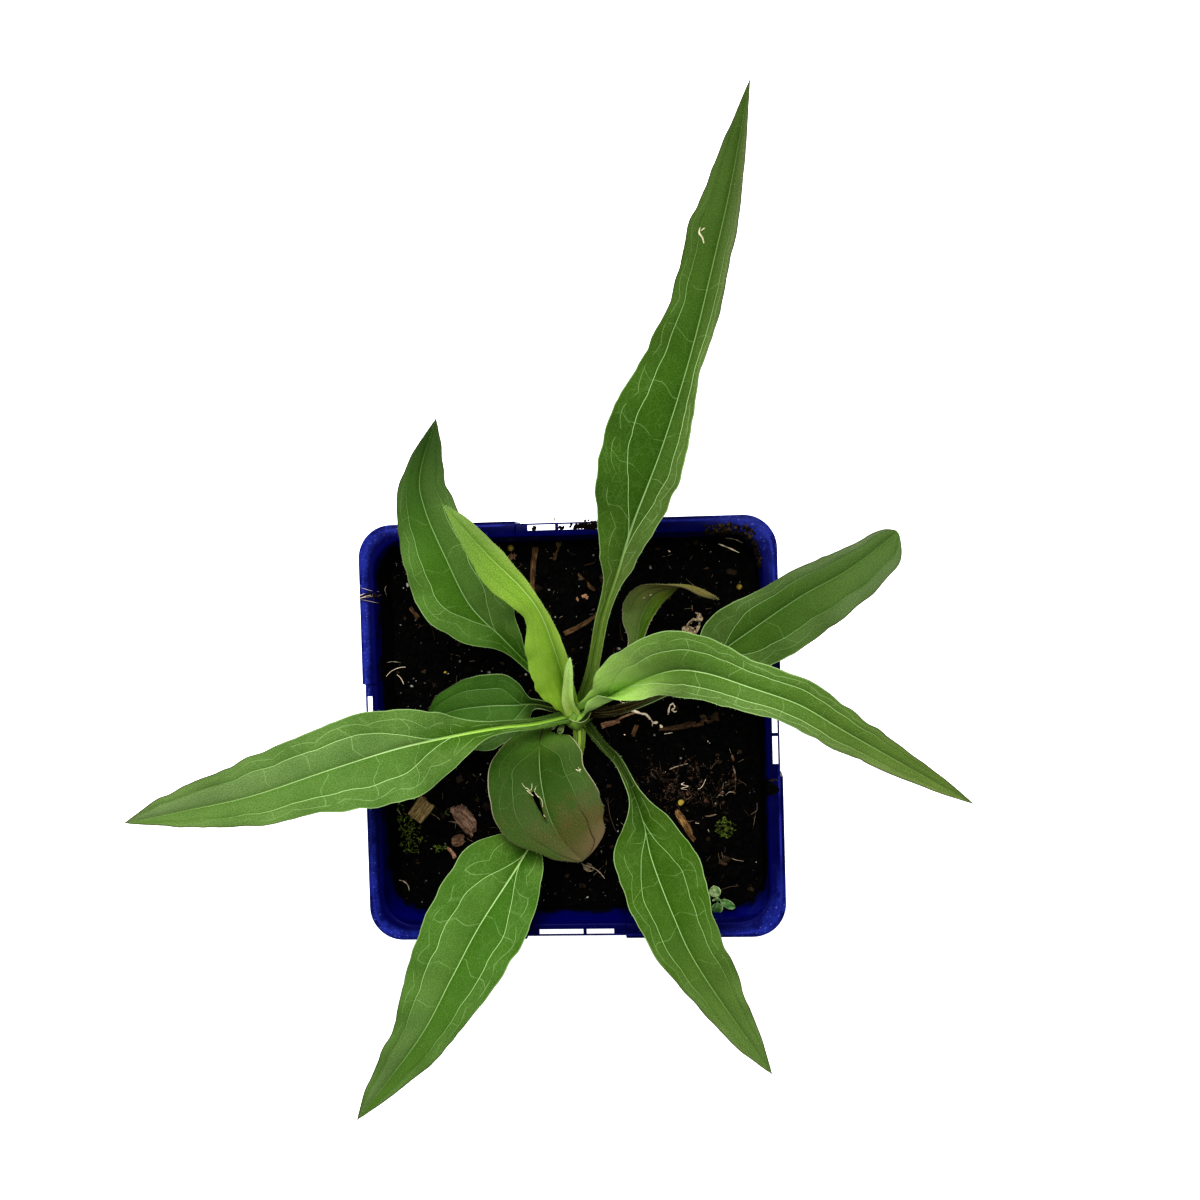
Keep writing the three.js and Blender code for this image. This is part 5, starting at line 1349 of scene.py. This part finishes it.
def leaf_arrays(leaf):
    """Everything about a leaf at each point of its closed rings, which run over the top from the
    left margin to the right one and back below. Every row stands on the midrib's curve, with a
    side direction level across it, turned by the roll, and each half is lifted by the fold,
    steeply at the midrib and hardly at the margin."""
    rib = np.array(leaf["rib"], float)
    u = np.linspace(0, len(rib) - 1, 2400)
    fine = through(rib[:, :3], u)
    run = np.concatenate([[0], np.cumsum(np.linalg.norm(np.diff(fine, axis=0), axis=1))])
    length = run[-1]
    rows = int(length / ROW_STEP)
    share = np.linspace(0, 1, rows)
    last = share[-1] - share[-2]
    share = np.concatenate([share[:-1], 1 - last * np.array([0.6, 0.35, 0.15, 0.03])])
    u = np.interp(share * length, run, u)
    line = through(rib, u)
    place, roll, fold = line[:, :3], np.radians(line[:, 3]), np.radians(line[:, 4])
    tangent = unit(through(rib[:, :3], np.minimum(u + 0.01, len(rib) - 1.0001))
                   - through(rib[:, :3], np.maximum(u - 0.01, 0)))
    level = unit(np.cross(tangent, [0, 0, 1.0]))
    upright = np.cross(level, tangent)
    side_way = level * np.cos(roll)[:, None] + upright * np.sin(roll)[:, None]
    up_way = upright * np.cos(roll)[:, None] - level * np.sin(roll)[:, None]

    stations = through(leaf["width"], np.linspace(0, len(leaf["width"]) - 1, 400))
    share, along = share[:, None], (share * length)[:, None]
    into_tip = ((along - length) / TIP_ROUND + 1).clip(0, 1)
    tip_round = np.sqrt(np.clip(1 - into_tip**2, 0.0004, 1))
    seed = int(length * 10)
    halves = []
    for side in (-1, 1):
        width = np.interp(share, stations[:, 0], stations[:, 1 if side < 0 else 2])
        uneven = sum(height * lattice_noise(along + 40 * side, 0 * along, size, seed)
                     for size, height in MARGIN_NOISE)
        width = np.maximum(width * tip_round + uneven * eased((width - 1) / 4), 0.06)
        curl_side, first, most, last = leaf.get("turned_up", (0, 0, 1, 2))
        turned = eased((share - first) / (most - first)) * eased((last - share) / (last - most))
        turned = turned * (side == curl_side)
        half = half_blade(leaf, side, share, along, width * (1 + CURL_GROWTH * turned))
        halves.append({**half, **turned_over(half["out"], turned)})
    top = {key: np.hstack([halves[0][key][:, ::-1], halves[1][key][:, 1:]]) for key in halves[0]}
    ring = {key: np.hstack([value, value[:, -2:0:-1]]) for key, value in top.items()}
    columns = top["out"].shape[1]
    below = (np.arange(ring["out"].shape[1]) >= columns)[None, :]

    wave_height, wave_length, wave_start = leaf["wave"]
    relative = ring["across"] / ring["width"]
    ripple = wave_height * np.sin(2 * math.pi * along / wave_length + wave_start)
    ripple = ripple * relative * np.abs(relative) * np.minimum(1, ring["width"] / 6)
    rib_half = np.minimum(RIB_HALF_WIDTH * (1 - 0.6 * share), 0.8 * ring["width"])
    rib_depth = RIB_DEPTH_BASE + (RIB_DEPTH_TIP - RIB_DEPTH_BASE) * np.minimum(1, share * 1.6)
    rib_round = np.sqrt(np.clip(1 - (ring["out"] / rib_half) ** 2, 0, 1))
    near_margin = np.clip(1 - ring["margin"] / MARGIN_ROUND, 0, 1)
    side_rib = SIDE_RIB_DEPTH * np.exp(-((ring["lateral"] / 0.35) ** 2))
    thick = (BLADE_THICKNESS * np.sqrt(1 - near_margin**2)
             + rib_depth * rib_round * eased(ring["margin"] / 0.6) + side_rib * eased(ring["margin"] / 1.5))
    fold = fold[:, None]
    relative_out = np.clip(ring["reach"] / ring["width"], 0, 1)
    raised = ring["width"] * np.sin(fold) * (1 - (1 - relative_out) ** FOLD_CURVE)
    lift = raised + ripple + ring["lift"] + ring["rise"] * np.cos(fold)
    lift = lift - below * thick * np.cos(ring["turn"])
    sideways = ring["reach"] * np.cos(fold) - ring["rise"] * np.sin(fold)
    sideways = (sideways + below * thick * np.sin(ring["turn"])) * np.sign(ring["across"])
    points = place[:, None] + side_way[:, None] * sideways[..., None] + up_way[:, None] * lift[..., None]
    full = np.ones_like(ring["out"])
    ring.update(points=points, share=share * full, along=along * full, below=below * full,
                length=length, side_way=side_way, up_way=up_way)
    return ring


def keep_on_corners(piece, name, values):
    """Keeps three numbers for each face corner, which stay true where the mesh is cut later."""
    corner = np.empty(len(piece.data.loops), int)
    piece.data.loops.foreach_get("vertex_index", corner)
    kept = piece.data.attributes.new(name, "FLOAT_VECTOR", "CORNER")
    kept.data.foreach_set("vector", values.reshape(-1, 3)[corner].astype(np.float32).ravel())


def line_where(field, half_width, softness=0.08):
    """1 where the field is within half_width of 0, fading out over the softness, in mm."""
    return (abs(field) - half_width).ramp(softness, 0)


def leaf_finish(name, leaf, vein_colour, roughness=0.5):
    """Living leaf: a green from stalk to tip with painted light and shade in its tones, painted sheen and
    painted shade in bands between the veins, painted shade where the blade begins, and thin pale veins in a
    net, each in a groove darkened with painted shade. It has a pale fine margin that turns purplish toward
    the tip, a duller under side, and brown with age. Places are in millimetres here, along and across the
    blade."""
    finish, tree, shader = new_finish(name, Specular_IOR_Level=0.1)
    along, across, below = apart(kept_field(tree, "blade")[1])
    lateral, loop, cross = apart(kept_field(tree, "veins")[1])
    share, margin, patch = apart(kept_field(tree, "zones")[1])
    stalk, blade, tip = (seen(*tone) for tone in leaf["tones"])
    rib_line, vein_strength, rib_tone = leaf["veins"]
    off_rib, off_side = abs(across), abs(lateral)

    # The green, whose tones hold painted light and shade: from stalk to blade to tip, then a painted sheen
    # (paler) or painted shade (deeper) in four bands between the veins.
    colour = blend(share.ramp(0.12, 0.4), stalk, blade)
    colour = blend(share.ramp(0.5, 0.95), colour, tip)
    left_outer, left_inner, right_inner, right_outer = leaf["sheen"]
    outside = lateral.ramp(-0.4, 0.4)
    left = outside.scaled(left_outer - left_inner, left_inner)
    right = outside.scaled(right_outer - right_inner, right_inner)
    sheen = across.ramp(-0.25, 0.25).scaled(right - left, left) * share.ramp(0.2, 0.4)
    tint = paint(tree, "VectorMath", {"operation": "MULTIPLY_ADD"}, _0=PAINTED_SHEEN_TINT, _1=sheen, _2=(1, 1, 1))[0]
    colour = blend(1.0, colour, tint, "MULTIPLY")

    # Painted shade: deeper green where the blade begins, where the leaves above shade it, and in the grooves
    # beside the veins.
    neck = share.ramp(0.12, 0.24) * share.ramp(0.42, 0.3) * off_rib.ramp(4, 1) * float(leaf.get("neck", 0))
    groove = off_rib.ramp(1.1, 0.2) * share.ramp(1.0, 0.8)
    groove = groove.most(off_side.ramp(0.55, 0.12) * (0.8 * vein_strength)) * (0.28 if rib_line else 0.0)
    deep = blend(1.0, colour, (0.6, 0.78, 0.3, 1), "MULTIPLY")
    colour = blend(neck.most(groove), colour, deep)

    # Broad clouds, the grain of the surface, and streaks along the stalk.
    flat_place = together(along, across)
    clouds = speckle(tree, 0.11, 3, 0.55, flat_place).ramp(0.3, 0.7)
    shade = blend(clouds, (0.93, 0.94, 0.92, 1), (1.06, 1.05, 1.05, 1))
    colour = blend(1.0, colour, shade, "MULTIPLY")
    grain = speckle(tree, 3.2, 2, 0.7, flat_place).ramp(0.32, 0.7)
    shade = blend(grain, (0.74, 0.78, 0.67, 1), (1.2, 1.17, 1.24, 1))
    colour = blend(1.0, colour, shade, "MULTIPLY")
    streaks = speckle(tree, 1.4, 2, 0.6, together(along * 0.05, across)).ramp(0.36, 0.64)
    colour = blend(streaks * share.ramp(0.32, 0.2) * 0.38, colour, deep)

    # The veins: midrib and side veins, loops and cross veins between them, and a net of cells.
    tip_half = min(rib_line / 2, 0.07)
    rib_width = share.ramp(0.5, 0.1, False).scaled(rib_line / 2 - tip_half, tip_half)
    midrib = line_where(across, rib_width) * share.ramp(1.0, 0.45)
    side_vein = line_where(lateral, 0.035) * share.ramp(0.85, 0.55)
    broken = speckle(tree, 0.22, 2, 0.6, flat_place).ramp(0.36, 0.5)
    loops = line_where(loop, 0.015) * broken * margin.ramp(0.3, 0.9)
    wrapped = (cross + 100.0 * VEIN_SPACING) % VEIN_SPACING - VEIN_SPACING / 2
    crossing = line_where(wrapped, 0.015) * loop.ramp(0.1, -0.1) * broken.scaled(0.7, 0.3)
    nets = []
    for scale, thickness, strength in ((0.24, 0.03, 0.17), (0.6, 0.06, 0.15)):
        cells = paint(tree, "TexVoronoi", {"feature": "DISTANCE_TO_EDGE"}, Scale=scale, Randomness=1.0,
                      Vector=together(along * 0.75, across))
        nets.append(cells[0].ramp(thickness, 0) * strength)
    net = nets[0].most(nets[1]) * margin.ramp(0.2, 1.2) * (share.ramp(0.15, 0.35) * share.ramp(0.8, 0.5))
    patchy = lateral.ramp(-0.6, 0.8).scaled(0.15, 0.3) * broken.scaled(0.8, 0.5)
    fine = (loops.most(crossing) * share.ramp(0.9, 0.5) * 0.55).most(net * patchy)
    fine = fine.most(side_vein) * vein_strength
    colour = blend(fine * 0.85, colour, vein_colour)
    colour = blend(midrib * 0.8, colour, blend(share.ramp(0.2, 0.42), seen(*rib_tone), vein_colour))

    # An old leaf browns in cloudy patches, first along its veins, and its margin dries pale.
    age = leaf.get("age", 0)
    edge_colour = MARGIN_PALE
    if age:
        cloudy = speckle(tree, 0.2, 5, 0.7, flat_place).scaled(2.2, -1.1)
        browned = (patch + cloudy).ramp(0.0, 1.2)
        brown = blend(grain, *BROWNED)
        brown = blend(share.ramp(0.82, 1.0), brown, BROWNED_TIP)
        colour = blend(browned * (0.85 * age), colour, brown)
        burnt = off_side.ramp(0.25, 0.05) * share.ramp(0.5, 0.7) * (browned * 0.8)
        colour = blend(burnt, colour, BURNT_VEIN)
        edge_colour = MARGIN_DRY
    edge_colour = blend(share.ramp(0.5, 0.75), edge_colour, MARGIN_PURPLE)
    hem = margin.ramp(0.34, 0.14) * share.ramp(0.08, 0.2)
    colour = blend(hem * (0.1 if leaf["slot"] == "leaf_young" else 0.65), colour, edge_colour)
    under = seen(*leaf.get("under", UNDER_GREEN))
    colour = blend(below, colour, blend(0.45, colour, under))
    give(shader, Base_Color=colour, Roughness=below.scaled(0.15, grain.scaled(0.14, roughness - 0.07)))
    relief(shader, fine.scaled(-0.5, grain * 0.45), 0.24)
    return finish


leaf_shapes = {}
for name, leaf in LEAVES.items():
    shape = leaf_arrays(leaf)
    leaf_shapes[name] = shape
    finish = leaf_finish(name + "_skin", leaf, VEIN_COLOURS[leaf["slot"]])
    blade = mesh_piece(name + "_blade", *skin(shape["points"]), finish)
    patch = eased((shape["share"] - 0.5) / 0.4) * (0.7 - 0.45 * shape["across"] / shape["width"])
    keep_on_corners(blade, "blade", np.stack([shape["along"], shape["across"], shape["below"]], -1))
    keep_on_corners(blade, "veins", np.stack([shape["lateral"], shape["loop"], shape["cross"]], -1))
    keep_on_corners(blade, "zones", np.stack([shape["share"], shape["margin"], patch], -1))
    if "tear" in leaf:
        start, end, tear_width = leaf["tear"]
        start, end = complex(*start), complex(*end)
        turn = np.linspace(0, 2 * math.pi, 60, endpoint=False)
        ragged = 1 + 0.4 * lattice_noise(turn * 4, 0 * turn, 1, 3)
        wedge = 0.15 + 0.85 * (0.5 - 0.5 * np.cos(turn)) ** 1.3
        wedge = abs(end - start) / 2 * np.cos(turn) + 0.5j * tear_width * np.sin(turn) * ragged * wedge
        wedge = (start + end) / 2 + wedge * (end - start) / abs(end - start)
        slit = [np.column_stack([wedge.real, wedge.imag, np.full(60, z)]) for z in (80, 120)]
        carve(blade, [skin(np.stack(slit))])
    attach(blade, "root")
    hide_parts(name)

# Pale torn threads round the old leaf's tear, and small pale scars on other leaves, as
# leaf: [(half thickness, [places as (x, y)])]. They lie on the upper side.
SCARS = {
    "leaf_old_torn": [
        (0.12, [(-11.2, -11.6), (-10.4, -12.6), (-9.6, -13), (-9, -13.9)]),
        (0.16, [(-10, -13.2), (-9.2, -13.9), (-8.3, -14.6)]),
        (0.1, [(-8.8, -11.6), (-8.8, -12.8), (-9.3, -13.6)]),
        (0.13, [(-7.8, -12.4), (-8.1, -13.6), (-7.4, -14.6), (-6.8, -15)]),
        (0.11, [(-6.9, -14.8), (-6.3, -16), (-6.3, -17.2)]),
        (0.16, [(-6, -18.8), (-5.6, -19.5)]),
        (0.2, [(1.6, -8.6), (2.4, -8.9), (2.9, -8.5)]),
        (0.1, [(2.2, -8.1), (2.8, -9.4)]),
    ],
    "leaf_long_upright": [(0.22, [(36.2, 107.6), (36, 106.4), (36.6, 105.4), (36.9, 104.2)]),
                          (0.14, [(37.2, 107.4), (36.3, 106.8)])],
    "leaf_folded": [(0.2, [(19, 31.3), (19.5, 31.6)]), (0.18, [(20.5, 31.9), (21.2, 32.3)])],
}
scar_shapes = []
for name, scars in SCARS.items():
    shape = leaf_shapes[name]
    upper = shape["points"][shape["below"] < 0.5]
    for half, places in scars:
        u = np.linspace(0, len(places) - 1, 8 * len(places))
        path = through([(*place, 0) for place in places], u)
        far = np.hypot(upper[None, :, 0] - path[:, :1], upper[None, :, 1] - path[:, 1:2])
        path[:, 2] = upper[far.argmin(axis=1), 2] + 0.4 * half
        radii = half * np.sqrt(np.clip(1 - np.abs(2 * u / u[-1] - 1) ** 3, 0.04, 1))
        scar_shapes.append(tubes(path[None], radii[None], 6))
scars = mesh_piece("leaf_scars", *joined(scar_shapes),
                   tone_finish("scar_pale", seen(120, 108, 84), seen(212, 208, 176)))
give_tone(scars, draw.uniform(0.25, 0.85, len(scars.data.vertices)))
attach(scars, "root")

# ---------------------------------------------------------------- Hairs
# Short stiff white hairs, thickest along the margins, the midribs and the stalks, and a soft down
# on the two youngest leaves. Each is a thin three-sided spike that leans toward the leaf's tip.
HAIR_ROOT = 0.024
HAIRS_PER_MM = 5
DOWNY = {"leaf_newest": 14, "leaf_young": 9}


def hairs(shape, count, rng):
    """Spikes from random points of a leaf's rings, more of them near the margin and the midrib. A
    spike is a triangle at the root and one point at its end, which stands off along the leaf's
    up or outward direction and half as far toward the tip."""
    weight = np.exp(-shape["margin"] / 0.25) + 0.5 * np.exp(-shape["out"] / 0.8) + 0.06
    weight = weight * (shape["share"] > 0.02) * (shape["share"] < 0.99)
    pick = rng.choice(weight.size, count, p=(weight / weight.sum()).ravel())
    row, column = np.unravel_index(pick, weight.shape)
    root = shape["points"][row, column]
    forward = unit(shape["points"][np.minimum(row + 1, len(weight) - 1), column] - root + 1e-9)
    up = shape["up_way"][row] * np.where(shape["below"][row, column] > 0.5, -1, 1)[:, None]
    outward = shape["side_way"][row] * np.sign(shape["across"][row, column])[:, None]
    at_margin = np.exp(-shape["margin"][row, column] / 0.3)[:, None]
    stray = rng.normal(0, 0.25, (count, 3))
    way = unit(up * (1 - 0.7 * at_margin) + outward * at_margin + 0.5 * forward + stray)
    length = rng.uniform(0.25, 0.6, count)[:, None]
    side = unit(np.cross(way, forward + 0.01))
    other = np.cross(way, side)
    foot = root - 0.05 * way
    corners = [foot + HAIR_ROOT * side, foot + HAIR_ROOT * (-0.5 * side + 0.87 * other),
               foot + HAIR_ROOT * (-0.5 * side - 0.87 * other), foot + length * way]
    points = np.stack(corners, axis=1).reshape(-1, 3)
    spike = np.array([(0, 1, 3), (1, 2, 3), (2, 0, 3), (0, 2, 1)])
    faces = np.arange(count)[:, None, None] * 4 + spike
    return points, faces.reshape(-1, 3).tolist()


hair_finish = new_finish("white_hair", Base_Color=seen(168, 188, 140), Roughness=0.6,
                         Specular_IOR_Level=0.3)[0]
for name, shape in leaf_shapes.items():
    count = int(shape["length"] * DOWNY.get(name, HAIRS_PER_MM))
    fuzz = mesh_piece(f"{name}_hairs", *hairs(shape, count, draw), hair_finish, smooth=False)
    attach(fuzz, "root")
